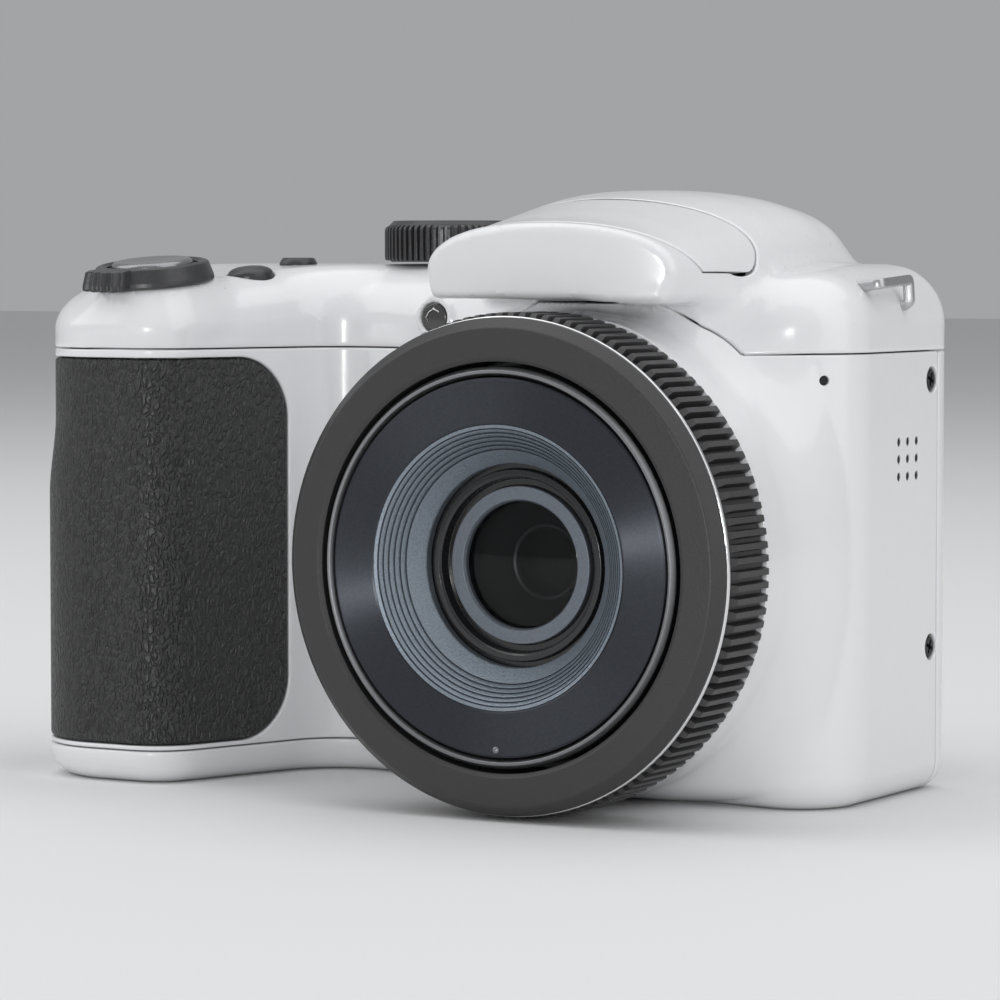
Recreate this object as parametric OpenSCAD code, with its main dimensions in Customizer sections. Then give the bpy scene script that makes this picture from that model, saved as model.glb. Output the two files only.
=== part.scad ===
// Bridge camera with a telescoping zoom lens, a pop-up flash and four AA cells in the grip.
// X runs to the right as seen from the front, Y runs from the lens to the rear, Z is up.
// The origin is the mouth of the tripod socket, straight below the lens axis.

/* [Housing] */
// Distance from the lens axis to the speaker side
side_right = 35; // [34:0.5:40]
// Distance from the lens axis to the outer side of the grip
side_left = 83; // [81:0.5:90]
// Distance from the socket to the rear face
rear_depth = 19.5; // [19:0.5:24]
// Distance from the socket to the front wall beside the lens
wall_front = 6.5; // [6:0.5:8]
// Distance from the socket to the front corner on the speaker side
corner_front = 19.5; // [18:0.5:21]
// Distance from the socket to the front of the grip
grip_front = 35.5; // [33:0.5:38]
// Height of the top plate over the lens axis
top_over_lens = 38.5; // [37.5:0.5:41.5]
// Thickness of the housing walls
wall = 2; // [1.6:0.1:2.2]
// Radius of the top edges
top_round = 8; // [6:0.5:8.5]
// Radius of the bottom edges
bottom_round = 4; // [3:0.5:4.5]
// Forward slope of the top plate over the grip, in degrees
top_slope = 7; // [5:0.5:8]
// Width of the shut lines between the covers
cover_gap = 0.1; // [0.05:0.05:0.2]
// Depth of the seam under the top plate
seam_drop = 11.6; // [10.5:0.1:13]
// Height of the seam over the bottom cover
seam_bottom = 4.6; // [4.4:0.1:5.5]
// Distance from the socket to the seam of the rear cover
seam_rear = 13.5; // [13:0.25:15]

/* [Lens] */
// Height of the lens axis
lens_height = 32.5; // [31:0.25:34]
// Distance from the socket to the front of the lens
lens_front = 45; // [44:0.5:48]
// Gap between the ribbed ring and the table
ring_lift = 0.1; // [0.05:0.05:0.6]
// Number of ribs on the ribbed ring
rib_count = 120; // [60:4:160]
// Wall of the zoom barrels
barrel_wall = 1.2; // [1:0.05:1.3]
// Play between the sliding barrels
barrel_play = 0.2; // [0.15:0.05:0.25]
// Travel of the first zoom barrel
zoom_travel = 18; // [10:1:18]
// Radius of the visible front glass
glass_r = 8.2; // [7:0.1:8.4]

/* [Flash hump] */
// Rise of the hump over the underside of its visor
hump_rise = 14.5; // [13.5:0.1:16]
// Gap between the visor and the ribbed ring
visor_gap = 1.4; // [1.2:0.1:1.8]
// Thickness of the hump's walls
hump_wall = 1.8; // [1.5:0.1:2]
// Opening angle of the flash lid, in degrees
flash_open = 50; // [30:1:55]

/* [Controls] */
// Radius of the mode dial
dial_r = 9.8; // [9:0.1:10]
// Height of the mode dial
dial_h = 5.8; // [4.5:0.1:7]
// Radius of the shutter button
shutter_r = 5.6; // [5:0.1:6]
// Stroke of the push buttons
stroke = 0.8; // [0.4:0.1:1]
// Play between a button and its hole
key_play = 0.25; // [0.2:0.05:0.35]

/* [Power] */
// Diameter of an AA cell
cell_d = 14.2; // [13.8:0.1:14.2]
// Length of an AA cell over its button
cell_l = 50.5; // [49:0.5:50.5]
// Outer radius of the tripod socket bush
bush_r = 5; // [4.5:0.1:6]
// Bore radius of the tripod socket, for a quarter-inch screw
socket_r = 3.175; // [3.175:0.1:4]
// Depth of the tripod socket
socket_depth = 6; // [5:0.25:7]

/* [Hidden] */
big = 200;
body_height = lens_height + top_over_lens;
seam_top = body_height - seam_drop;
rib_ring_r = lens_height - ring_lift;
ring_bore = rib_ring_r - 6.2;
barrel_r = ring_bore - 0.6;
visor_under = lens_height + rib_ring_r + visor_gap;
hump_height = visor_under + hump_rise;
round_steps = 5;
edge_steps = 4;
flat_from = -2;
collar_r = rib_ring_r - 0.3;
collar_start = 13.4;
collar_wall = 1.2;
flare_r = 8;
collar_zone_r = collar_r + 2.9;
visor_seam = 0.4;
bottom_cover_end = -22;
grip_inner_x = 57.5;
grip_root_x = 48;

// Plan of the housing as corners [x, y, radius], walked anticlockwise
PLAN = [
    [side_right, rear_depth, 5],
    [-side_left + 2, rear_depth, 9],
    [-side_left, -grip_front, 13],
    [-grip_inner_x, -grip_front, 8],
    [-grip_root_x, -wall_front, 8],
    [side_right, -corner_front, 10],
];

// Hump stations from the visor to the rear: [y, half width, drop as a share of the rise]
HUMP = [
    [-34.4, 14.5, 0.43],
    [-33.4, 16.9, 0.34],
    [-31.8, 18, 0.303],
    [-29, 18.6, 0.262],
    [-23, 20, 0.166],
    [-14, 22, 0.055],
    [-5, 22.8, 0],
    [5, 22.8, 0.042],
    [11, 22.4, 0.18],
    [15, 21.4, 0.428],
    [17.2, 20, 0.745],
];

function unit(v) = v / norm(v);
function left_of(v) = [-v[1], v[0]];
function turn(v, a) = [v[0] * cos(a) - v[1] * sin(a), v[0] * sin(a) + v[1] * cos(a)];
function flat(p) = [p[0], p[1]];
function wrap(path, i) = path[(i + len(path)) % len(path)];
function edge_dir(path, i) = unit(flat(wrap(path, i + 1)) - flat(wrap(path, i)));

// Signed turning angle at corner i
function corner_turn(path, i) =
    let (a = edge_dir(path, i - 1), b = edge_dir(path, i))
    atan2(a[0] * b[1] - a[1] * b[0], a * b);

// Moves a corner inwards by d, keeping its two edges parallel
function inset_corner(path, i, d) =
    let (
        n1 = left_of(edge_dir(path, i - 1)),
        n2 = left_of(edge_dir(path, i)),
        p = flat(path[i]) + d * (n1 + n2) / (1 + n1 * n2),
        r = path[i][2] - d * sign(corner_turn(path, i))
    )
    [p[0], p[1], max(r, 0.4)];

function inset_path(path, d) = [for (i = [0:len(path) - 1]) inset_corner(path, i, d)];

// Points of the fillet arc at corner i
function corner_arc(path, i) =
    let (
        angle = corner_turn(path, i),
        r = path[i][2],
        along = edge_dir(path, i - 1),
        start = flat(path[i]) - along * r * tan(abs(angle) / 2),
        centre = start + left_of(along) * r * sign(angle)
    )
    [for (k = [0:round_steps]) centre + turn(start - centre, angle * k / round_steps)];

function rounded(path) = [for (i = [0:len(path) - 1]) each corner_arc(path, i)];

// The top plate slopes down towards the front of the grip
function top_drop(y) = tan(top_slope) * max(0, flat_from - y);
function sloped(p, z) =
    let (share = max(0, z - seam_top) / (body_height - seam_top))
    [p[0], p[1], z - top_drop(p[1]) * share];

function ring(d, z) = [for (p = rounded(inset_path(PLAN, d))) sloped(p, z)];

function bottom_ring(d, a) =
    ring(d + (bottom_round - d) * (1 - sin(a)), d + (bottom_round - d) * (1 - cos(a)));
function top_ring(d, a) =
    ring(d + (top_round - d) * (1 - cos(a)), body_height - d - (top_round - d) * (1 - sin(a)));

// Solid through a stack of rings with the same number of points
module loft(rings) {
    n = len(rings[0]);
    last = len(rings) - 1;
    walls = [
        for (i = [0:last - 1], j = [0:n - 1])
        [i * n + j, (i + 1) * n + j, (i + 1) * n + (j + 1) % n, i * n + (j + 1) % n]
    ];
    polyhedron(
        [for (r = rings) each r],
        concat([[for (j = [0:n - 1]) j]], walls, [[for (j = [n - 1:-1:0]) last * n + j]]),
        convexity = 6
    );
}

// Main housing form, inset by d
module body_form(d) {
    step = 90 / edge_steps;
    loft(concat(
        [for (k = [0:edge_steps]) bottom_ring(d, k * step)],
        [ring(d, seam_top)],
        [for (k = [0:edge_steps]) top_ring(d, k * step)]
    ));
}

hump_power = 0.455;
hump_points = 16;
hump_mid = (HUMP[0][0] + HUMP[len(HUMP) - 1][0]) / 2;
hump_half = HUMP[len(HUMP) - 1][0] - hump_mid;

function eased(c) = sign(c) * pow(abs(c), hump_power);

// One cross-section of the hump as a thin slice
module hump_slice(i, d) {
    s = HUMP[i];
    y = hump_mid + (s[0] - hump_mid) * (hump_half - d) / hump_half;
    w = s[1] - d;
    low = visor_under + d;
    h = hump_height - s[2] * hump_rise - d - low;
    translate([0, y, 0])
        rotate([90, 0, 0])
        linear_extrude(0.01)
        polygon([
            for (k = [0:hump_points])
            let (a = 180 * k / hump_points)
            [w * eased(cos(a)), low + h * eased(sin(a))]
        ]);
}

// Flash hump with its visor, inset by d
module hump_form(d) {
    for (i = [0:len(HUMP) - 2])
        hull() {
            hump_slice(i, d);
            hump_slice(i + 1, d);
        }
}

// Puts children on the lens axis, with their Z pointing rearwards from the lens front
module on_lens() {
    translate([0, -lens_front, lens_height])
        rotate([-90, 0, 0])
        children();
}

// Tube about the lens axis between two radii and two depths
module tube(r_out, r_in, from, to) {
    translate([0, 0, from])
        difference() {
            cylinder(r = r_out, h = to - from);
            translate([0, 0, -1])
                cylinder(r = r_in, h = to - from + 2);
        }
}

// Collar that flares from the lens into the housing, inset by d
module collar_form(d) {
    inner = d > 0 ? collar_wall : 0;
    front = collar_start - (d > 0 ? 1 : 0);
    root = lens_front - wall_front;
    sweep = flare_r + inner;
    intersection() {
        on_lens()
            rotate_extrude($fn = 72)
            polygon(concat(
                [[0, front], [collar_r - inner, front]],
                [
                    for (a = [0:15:90])
                    [collar_r + flare_r - sweep * cos(a), root - flare_r + sweep * sin(a)]
                ],
                [[0, root + inner]]
            ));
        translate([0, big / 2, 0])
            rotate([90, 0, 0])
            linear_extrude(big)
            hull()
            for (x = [-side_left, side_right - bottom_round - d], z = [bottom_round + d, big / 2])
                translate([x, z])
                circle(bottom_round, $fn = 24);
    }
}

module outer_form(d) {
    body_form(d);
    hump_form(d > 0 ? hump_wall : 0);
    collar_form(d);
}

module housing_shell() {
    difference() {
        outer_form(0);
        outer_form(wall);
    }
}

module collar_zone(r) {
    on_lens()
        translate([0, 0, -1])
        cylinder(r = r, h = lens_front, $fn = 72);
}

module box(low, high) {
    translate(low)
        cube(high - low);
}

module zone_top(gap) {
    difference() {
        box([-big, -big, seam_top + gap], [big, big, big]);
        intersection() {
            collar_zone(collar_zone_r + gap);
            box([-big, -big, 0], [big, big, visor_under - visor_seam + gap]);
        }
    }
}

module zone_bottom(gap) {
    box([-big, -big, -1], [bottom_cover_end - gap, big, seam_bottom - gap]);
}

module zone_rear(gap) {
    box([-big, seam_rear + gap, -1], [big, big, seam_top - gap]);
}

// Puts children on the sloped top plate, with their Z along its normal
module on_top(x, y) {
    translate([x, y, body_height - top_drop(y)])
        rotate([y < flat_from ? top_slope : 0, 0, 0])
        children();
}

// Puts children on the rear face, with their Z pointing rearwards
module on_rear(x, z) {
    translate([x, rear_depth, z])
        rotate([-90, 0, 0])
        children();
}

// Places of the controls
shutter_at = [-64.5, -27];
power_at = [-58.1, -12.6];
power_r = 3.2;
top_key_at = [-58.2, 0];
top_key_r = 2.7;
dial_at = [-36, 6];
shaft_r = 2;
dial_bush_r = 3.5;
run = 0.05;
bush_post_r = 6.2;
lever_r = 8.4;
key_r = 2.6;
KEYS = [["menu", -50.5, 44], ["play", -69.5, 44], ["display", -50.5, 10.5], ["erase", -69.5, 10.5]];
record_at = [-46.5, 54];
record_r = 2.4;
pad_at = [-60, 27];
pad_r = 8;
set_r = 3.8;

// Rubber grip: a skin let into the front cover
rubber_depth = 1;
rubber_proud = 0.2;
rubber_low = seam_bottom + 0.8;
rubber_high = seam_top - 1.3;
rubber_edge_x = -50.6;
rubber_rear = 0;

// Front view of the rubber, with soft corners at the finger side, grown by g
module rubber_zone(g) {
    soft_x = 5;
    soft_z = 9;
    low = rubber_low - g;
    high = rubber_high + g;
    edge = rubber_edge_x + g;
    intersection() {
        translate([0, big / 2, 0])
            rotate([90, 0, 0])
            linear_extrude(big)
            polygon(concat(
                [[-big, low]],
                [for (a = [-90:15:0]) [edge - soft_x + soft_x * cos(a), low + soft_z + soft_z * sin(a)]],
                [for (a = [0:15:90]) [edge - soft_x + soft_x * cos(a), high - soft_z + soft_z * sin(a)]],
                [[-big, high]]
            ));
        box([-big, -big, 0], [0, rubber_rear + g, big]);
    }
}

module grip_rubber() {
    color("dimgray")
        intersection() {
            difference() {
                body_form(-rubber_proud);
                body_form(rubber_depth - cover_gap);
            }
            rubber_zone(-cover_gap);
        }
}

// Holes on the speaker side
speaker_at = [4, lens_height + 12.7];
speaker_pitch = [2.8, 2.3];
speaker_hole_r = 0.5;
screw_y = 11.7;
SCREW_Z = [19.6, seam_top - 3.9];
screw_head_r = 1.5;
screw_shank_r = 0.9;
screw_sink = 0.6;
mic_at = [32.66, -14.2, seam_top - 3.4];
mic_angle = -40;

module along_x(x, y, z) {
    translate([x, y, z])
        rotate([0, 90, 0])
        children();
}

module speaker_holes() {
    for (i = [-1:1], j = [-1:1])
        along_x(side_right - 2 * wall, speaker_at[0] + i * speaker_pitch[0], speaker_at[1] + j * speaker_pitch[1])
            cylinder(r = speaker_hole_r, h = 4 * wall, $fn = 12);
}

// Places children at each case screw, with Z pointing out of the side
module at_screws() {
    for (z = SCREW_Z) {
        translate([side_right, screw_y, z])
            rotate([0, 90, 0])
            children();
        translate([-side_left + 2, screw_y, z])
            rotate([0, -90, 0])
            children();
    }
}

module case_screws() {
    color("dimgray")
        at_screws() {
            translate([0, 0, -screw_sink - 1])
                cylinder(r = screw_head_r, h = 1);
            translate([0, 0, -screw_sink - 2.1])
                cylinder(r = screw_shank_r, h = 1.2);
        }
}

module screw_holes() {
    at_screws() {
        translate([0, 0, -screw_sink - 1.1])
            cylinder(r = screw_head_r + 0.15, h = 4, $fn = 24);
        translate([0, 0, -big / 20])
            cylinder(r = screw_shank_r + 0.15, h = big / 20, $fn = 16);
    }
}

module at_mic() {
    translate(mic_at)
        rotate([0, 0, mic_angle])
        rotate([0, 90, 0])
        children();
}

module front_cover() {
    color("white")
        difference() {
            housing_shell();
            zone_top(-cover_gap / 2);
            zone_bottom(-cover_gap / 2);
            zone_rear(-cover_gap / 2);
            intersection() {
                rubber_zone(0);
                difference() {
                    body_form(-1);
                    body_form(rubber_depth);
                }
            }
            speaker_holes();
            screw_holes();
            at_mic()
                cylinder(r = 0.55, h = 8, center = true, $fn = 12);
            cylinder(r = bush_r + cover_gap, h = 3 * wall, center = true, $fn = 48);
        }
}

// Display
display_x = [-38, 30];
display_z = [8.5, seam_top - 1.9];
window_t = 1;
window_proud = 0.1;
bezel = 3;

module rear_cover() {
    color("white")
        difference() {
            intersection() {
                housing_shell();
                zone_rear(cover_gap / 2);
            }
            zone_bottom(-cover_gap / 2);
            box(
                [display_x[0] - cover_gap, rear_depth - window_t - cover_gap, display_z[0] - cover_gap],
                [display_x[1] + cover_gap, rear_depth + 1, display_z[1] + cover_gap]
            );
            box(
                [display_x[0] + bezel, 0, display_z[0] + bezel],
                [display_x[1] - bezel, rear_depth + 1, display_z[1] - bezel]
            );
            for (k = KEYS)
                on_rear(k[1], k[2])
                    cylinder(r = key_r + key_play, h = 3 * wall, center = true, $fn = 32);
            on_rear(record_at[0], record_at[1])
                cylinder(r = record_r + key_play, h = 3 * wall, center = true, $fn = 32);
            on_rear(pad_at[0], pad_at[1])
                cylinder(r = pad_r + key_play, h = 3 * wall, center = true, $fn = 48);
            screw_holes();
        }
}

// Flash lid and its hinge at the rear
lid_front = -32;
lid_front_z = hump_height - 4.3;
lid_side_z = visor_under + 3.6;
hinge_y = -18;
hinge_drop = 6;
hinge_z = hump_height - hinge_drop;
lid_arc_r = 5.2;
knuckle_r = 1.8;
flash_pin_r = 0.8;
knuckle_half = 11.6;
ear_t = 1.2;
ear_r = 1.15;
ear_gap = 0.3;
flash_pin_half = knuckle_half + ear_gap + ear_t;

// Side view of the flash lid, grown by g: its rear edge is an arc about the hinge
module zone_lid(g) {
    rise = big / 10;
    translate([-big / 2, 0, 0])
        rotate([90, 0, 90])
        linear_extrude(big) {
            polygon([
                [lid_front - rise - 1.5 * g, lid_front_z + rise],
                [lid_front + lid_front_z - lid_side_z - 1.5 * g, lid_side_z - g],
                [hinge_y, lid_side_z - g],
                [hinge_y, lid_front_z + rise],
            ]);
            translate([hinge_y, hinge_z])
                circle(lid_arc_r + g, $fn = 64);
        }
}

module along_hinge(half, r, fn) {
    translate([-half, hinge_y, hinge_z])
        rotate([0, 90, 0])
        cylinder(r = r, h = 2 * half, $fn = fn);
}

module flash_lid() {
    color("white")
        intersection() {
            difference() {
                hump_form(0);
                hump_form(hump_wall);
            }
            zone_lid(-cover_gap);
        }
}

leaf_half = 8;
leaf_reach = 4.8;
leaf_t = 1.2;

// Knuckle under the lid, with a leaf that joins it to the lid and the lamp head
module flash_hinge() {
    color("dimgray")
        difference() {
            union() {
                along_hinge(knuckle_half, knuckle_r, 48);
                box([-leaf_half, hinge_y - leaf_reach, hinge_z], [leaf_half, hinge_y, hinge_z + leaf_t]);
            }
            along_hinge(knuckle_half + 1, flash_pin_r + run, 48);
        }
}

module flash_pin() {
    color("silver")
        along_hinge(flash_pin_half, flash_pin_r, 48);
}

// Lamp head: its window looks straight ahead when the lid stands open
head_at = [-24.6, visor_under + 4.6];
head_h = 5.6;
head_d = 3.2;
head_half = 11;
window_thick = 0.8;

module in_head() {
    translate([0, head_at[0], head_at[1]])
        rotate([flash_open, 0, 0])
        children();
}

module flash_reflector() {
    color("silver")
        in_head()
        difference() {
            box([-head_half, 0, -head_h / 2], [head_half, head_d, head_h / 2]);
            translate([-head_half + 1, 0, 0])
                rotate([90, 0, 90])
                linear_extrude(2 * head_half - 2)
                polygon([[-1, -head_h / 2 + 0.6], [-1, head_h / 2 - 0.6], [head_d - 0.8, 1], [head_d - 0.8, -1]]);
        }
}

module flash_tube() {
    color("lightblue")
        in_head()
        translate([-head_half + 1, head_d - 1.9, 0])
        rotate([0, 90, 0])
        cylinder(r = 0.9, h = 2 * head_half - 2, $fn = 24);
}

module flash_window() {
    color("lightcyan")
        in_head()
        box([-head_half, -window_thick - 0.02, -head_h / 2], [head_half, -0.02, head_h / 2]);
}

// Strap lugs: bent wire loops through both shoulders
lug_y = [-8, 3.4];
lug_z = body_height - 2.7;
lug_r = 0.9;
lug_out = 1.3;
lug_in = 3.5;

module lug_loop(r) {
    for (y = lug_y) {
        translate([0, y, 0])
            rotate([0, 90, 0])
            translate([0, 0, -lug_in])
            cylinder(r = r, h = lug_in + lug_out, $fn = 32);
        translate([lug_out, y, 0])
            sphere(r = r, $fn = 32);
    }
    translate([lug_out, lug_y[0], 0])
        rotate([-90, 0, 0])
        cylinder(r = r, h = lug_y[1] - lug_y[0], $fn = 32);
}

module at_lugs() {
    translate([side_right, 0, lug_z])
        children();
    translate([-side_left + 1, 0, lug_z])
        mirror([1, 0, 0])
        children();
}

module strap_lugs() {
    color("silver")
        at_lugs()
        lug_loop(lug_r);
}

// Autofocus lamp window in the top cover
lamp_at = [-30, body_height - 7.4];
lamp_r = 2;
lamp_y = -9.9;

module at_lamp() {
    translate([lamp_at[0], lamp_y, lamp_at[1]])
        rotate([-90, 0, 0])
        children();
}

module af_lamp() {
    color("dimgray")
        at_lamp()
        rotate_extrude()
        polygon([[0, -0.3], [1.2, -0.1], [lamp_r, 0.3], [lamp_r, 4], [0, 4]]);
}

// Ears on the visor's floor that hold the flash pin
module pin_ears() {
    for (x = [-flash_pin_half, knuckle_half + ear_gap])
        hull() {
            translate([x, hinge_y, hinge_z])
                rotate([0, 90, 0])
                cylinder(r = ear_r, h = ear_t, $fn = 24);
            box([x, hinge_y - 1.5, visor_under + 1], [x + ear_t, hinge_y + 1.5, visor_under + 2]);
        }
}

module top_cover() {
    color("white")
        difference() {
            union() {
                difference() {
                    intersection() {
                        housing_shell();
                        zone_top(cover_gap / 2);
                    }
                    zone_lid(cover_gap);
                }
                pin_ears();
            }
            along_hinge(flash_pin_half + 0.2, flash_pin_r + 0.15, 24);
            at_lugs()
                lug_loop(lug_r + 0.2);
            at_lamp()
                translate([0, 0, -3])
                cylinder(r = lamp_r + cover_gap, h = 9, $fn = 32);
            on_top(shutter_at[0], shutter_at[1])
                cylinder(r = bush_post_r + cover_gap, h = 12, center = true, $fn = 48);
            on_top(power_at[0], power_at[1])
                cylinder(r = power_r + key_play, h = 12, center = true, $fn = 48);
            on_top(top_key_at[0], top_key_at[1])
                cylinder(r = top_key_r + key_play, h = 12, center = true, $fn = 32);
            on_top(dial_at[0], dial_at[1])
                cylinder(r = dial_bush_r + cover_gap, h = 12, center = true, $fn = 32);
        }
}

// Door over the cells, hinged beside them
door_t = 2.4;
door_hinge_x = -50;
door_hinge_z = 1.2;
door_knuckle_r = 1.2;
door_pin_r = 0.6;
door_pin_y = [-3, 14];
door_knuckle_y = [-1, 12];
door_gap = 0.25;
door_end = 2;
hinge_block_end = 1.35;

// Plan of the door, grown by g
module door_plan(g) {
    polygon([
        [-79 - g, -15.2 - g],
        [-58 + g, -15.2 - g],
        [door_hinge_x + g, -5 - g],
        [door_hinge_x + g, 14.6 + g],
        [-79 - g, 14.6 + g],
    ]);
}

module along_door_hinge(y0, y1, r, fn) {
    translate([door_hinge_x, y0, door_hinge_z])
        rotate([-90, 0, 0])
        cylinder(r = r, h = y1 - y0, $fn = fn);
}

module battery_door() {
    color("white")
        difference() {
            union() {
                intersection() {
                    body_form(0);
                    translate([0, 0, -1])
                        linear_extrude(door_t + 1)
                        door_plan(0);
                }
                along_door_hinge(door_knuckle_y[0], door_knuckle_y[1], door_knuckle_r, 48);
            }
            along_door_hinge(door_knuckle_y[0] - 30, door_knuckle_y[1] + 30, door_pin_r + run, 48);
            for (y = [[-40, door_knuckle_y[0]], [door_knuckle_y[1], 40]])
                box([door_hinge_x - door_end, y[0], -1], [big, y[1], door_t + 1]);
        }
}

module door_pin() {
    color("silver")
        along_door_hinge(door_pin_y[0], door_pin_y[1], door_pin_r, 48);
}

module bottom_cover() {
    color("white")
        difference() {
            intersection() {
                union() {
                    housing_shell();
                    intersection() {
                        body_form(0);
                        box([door_hinge_x - 1, door_pin_y[0] - 0.5, 0], [door_hinge_x + 4, door_pin_y[1] + 0.5, 4]);
                    }
                }
                zone_bottom(cover_gap / 2);
            }
            translate([0, 0, -1])
                linear_extrude(big)
                difference() {
                    door_plan(door_gap);
                    for (y = [[-40, door_knuckle_y[0] - door_gap], [door_knuckle_y[1] + door_gap, 40]])
                        translate([door_hinge_x - hinge_block_end, y[0]])
                        square([20, y[1] - y[0]]);
                }
            along_door_hinge(door_knuckle_y[0] - door_gap, door_knuckle_y[1] + door_gap, door_knuckle_r + door_gap, 32);
            box(
                [door_hinge_x - 2, door_knuckle_y[0] - door_gap, -1],
                [door_hinge_x + door_knuckle_r + door_gap, door_knuckle_y[1] + door_gap, door_hinge_z]
            );
            along_door_hinge(door_pin_y[0] - 0.3, door_pin_y[1] + 0.3, door_pin_r + 0.15, 24);
        }
}

// Cells, two by two, with the front pair set towards the outer side
cell_low = 6.2;
CELLS = [[-71.9, 7], [-57.6, 7], [-72.55, -7.7], [-58.25, -7.7]];
cell_button_r = 2.7;
cell_button_h = 1;

module aa_cells() {
    color("goldenrod")
        for (c = CELLS)
            translate([c[0], c[1], cell_low]) {
                cylinder(d = cell_d, h = cell_l - cell_button_h);
                translate([0, 0, cell_l - cell_button_h])
                    cylinder(r = cell_button_r, h = cell_button_h);
            }
}

holder_z = cell_low + cell_l + 1.2;
holder_t = 1;
holder_cover = 4.4;
holder_rear = rear_depth - wall - 2.3;
holder_low = seam_bottom + 0.5;
holder_inner = CELLS[1][0] + cell_d / 2 + 1.2;

// Holder: roof over the cells with a rear and an inner wall
module cell_holder() {
    color("dimgray")
        union() {
            box(
                [CELLS[2][0] - holder_cover, CELLS[2][1] - holder_cover, holder_z],
                [CELLS[3][0] + holder_cover, CELLS[0][1], holder_z + holder_t]
            );
            box([CELLS[0][0] - holder_cover, 0, holder_z], [holder_inner, holder_rear, holder_z + holder_t]);
            box(
                [CELLS[0][0] - holder_cover, CELLS[0][1] + cell_d / 2 + run, holder_low],
                [chassis_x[0], holder_rear, holder_z + holder_t]
            );
            box([holder_inner - holder_t, -holder_t, holder_low], [holder_inner, holder_rear, holder_z + holder_t]);
        }
}

module cell_contacts() {
    color("silver")
        for (c = CELLS)
            translate([c[0], c[1], holder_z - 0.9])
            cylinder(r = 4, h = 0.9);
}

// Springs that ride on the door
module door_contacts() {
    color("silver")
        for (c = CELLS)
            translate([c[0] - 0.5, c[1], door_t])
            cylinder(r1 = 4, r2 = 2.5, h = cell_low - door_t - 0.3);
}

// Lens
module front_ring() {
    face_r = drum_r;
    color("#3d3b3c")
        on_lens()
        rotate_extrude()
        polygon([
            [ring_bore, 0.5],
            [ring_bore + 0.4, 0.2],
            [face_r, 0.5],
            [face_r + 1.4, 2.1],
            [face_r + 1.4, 2.35],
            [face_r, 2.35],
            [face_r, drum_front],
            [drum_bore, drum_front],
            [drum_bore, 6],
            [ring_bore, 5],
        ]);
}

drum_r = rib_ring_r - 2;
drum_bore = ring_bore + 1;
drum_front = 14;
drum_rear = 36.5;
tube_r = drum_bore - 5.2;
sensor_plane = 52;

module trim_ring() {
    color("silver")
        on_lens()
        tube(rib_ring_r - 0.45, drum_r + run, 2.4, 3.1);
}

// Ribbed ring: a saw-edged ring with chamfered ends
rib_depth = 1;
rib_ends = [3.4, 13.1];
rib_chamfer = 0.9;

module rib_ring() {
    pitch = 360 / rib_count;
    color("#3d3b3c")
        on_lens()
        difference() {
            intersection() {
                translate([0, 0, rib_ends[0]])
                    linear_extrude(rib_ends[1] - rib_ends[0])
                    polygon([
                        for (i = [0:rib_count - 1], s = [[0, 0], [0.3, 1], [0.7, 1]])
                        (rib_ring_r - rib_depth * (1 - s[1])) * [cos((i + s[0]) * pitch), sin((i + s[0]) * pitch)]
                    ]);
                rotate_extrude($fn = 2 * rib_count)
                    polygon([
                        [0, rib_ends[0]],
                        [rib_ring_r - rib_chamfer, rib_ends[0]],
                        [rib_ring_r + 0.1, rib_ends[0] + rib_chamfer],
                        [rib_ring_r + 0.1, rib_ends[1]],
                        [0, rib_ends[1]],
                    ]);
            }
            cylinder(r = drum_r + run, h = 20, $fn = 2 * rib_count);
        }
}

module lens_drum() {
    color("dimgray")
        on_lens()
        rotate_extrude()
        polygon([
            [drum_bore, drum_front],
            [drum_r, drum_front],
            [drum_r, drum_rear + 2],
            [tube_r, drum_rear + 2],
            [tube_r, sensor_plane],
            [7, sensor_plane],
            [7, sensor_plane - 1],
            [9.2, sensor_plane - 1],
            [9.2, sensor_plane - 4.5],
            [17, sensor_plane - 4.5],
            [17, drum_rear],
            [drum_bore, drum_rear],
        ]);
}

module rear_glass() {
    color("lightcyan")
        on_lens()
        rotate_extrude()
        polygon([
            [0, sensor_plane - 4.6],
            [5, sensor_plane - 4.2],
            [9.1, sensor_plane - 3.2],
            [9.1, sensor_plane - 1.2],
            [0, sensor_plane - 1.2],
        ]);
}

module cam_ring() {
    color("gray")
        on_lens()
        tube(drum_bore - barrel_play, barrel_r + barrel_play, drum_front + 1, drum_rear - 0.5);
}

outer_len = 33;
inner_r = barrel_r - barrel_wall - barrel_play;
inner_bore = inner_r - barrel_wall;
inner_len = 29;
face_front = 0.3;
face_t = 1.2;
face_width = 6;
groove_r = inner_r - face_width;
groove_end_r = 12;
groove_depth = 4.9;
groove_count = 5;

module outer_barrel() {
    color("silver")
        on_lens()
        rotate_extrude()
        polygon([
            [barrel_r - barrel_wall, 0.4],
            [barrel_r - barrel_wall + 0.4, 0],
            [barrel_r - 0.3, 0],
            [barrel_r, 0.3],
            [barrel_r, outer_len],
            [barrel_r - barrel_wall, outer_len],
        ]);
}

module inner_barrel() {
    color("#3b3c42")
        on_lens()
        tube(inner_r, inner_bore, face_front + face_t, inner_len);
}

module lens_face() {
    color("#3b424c")
        on_lens()
        tube(inner_r, groove_r + run, face_front, face_front + face_t);
}

// Cone with turned grooves around the glass
module groove_ring() {
    span = groove_r - groove_end_r;
    color("#6c7682")
        on_lens()
        rotate_extrude()
        polygon(concat(
            [[groove_r, face_front]],
            [
                for (i = [0:groove_count - 1], s = [[0.35, 0], [0.5, 0.35], [0.65, 0]])
                let (t = (i + s[0]) / groove_count)
                [groove_r - span * t, face_front + groove_depth * t + s[1]]
            ],
            [
                [groove_end_r, face_front + groove_depth],
                [groove_end_r, face_front + groove_depth + 1.2],
                [groove_r, face_front + face_t + 0.6],
            ]
        ));
}

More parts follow.
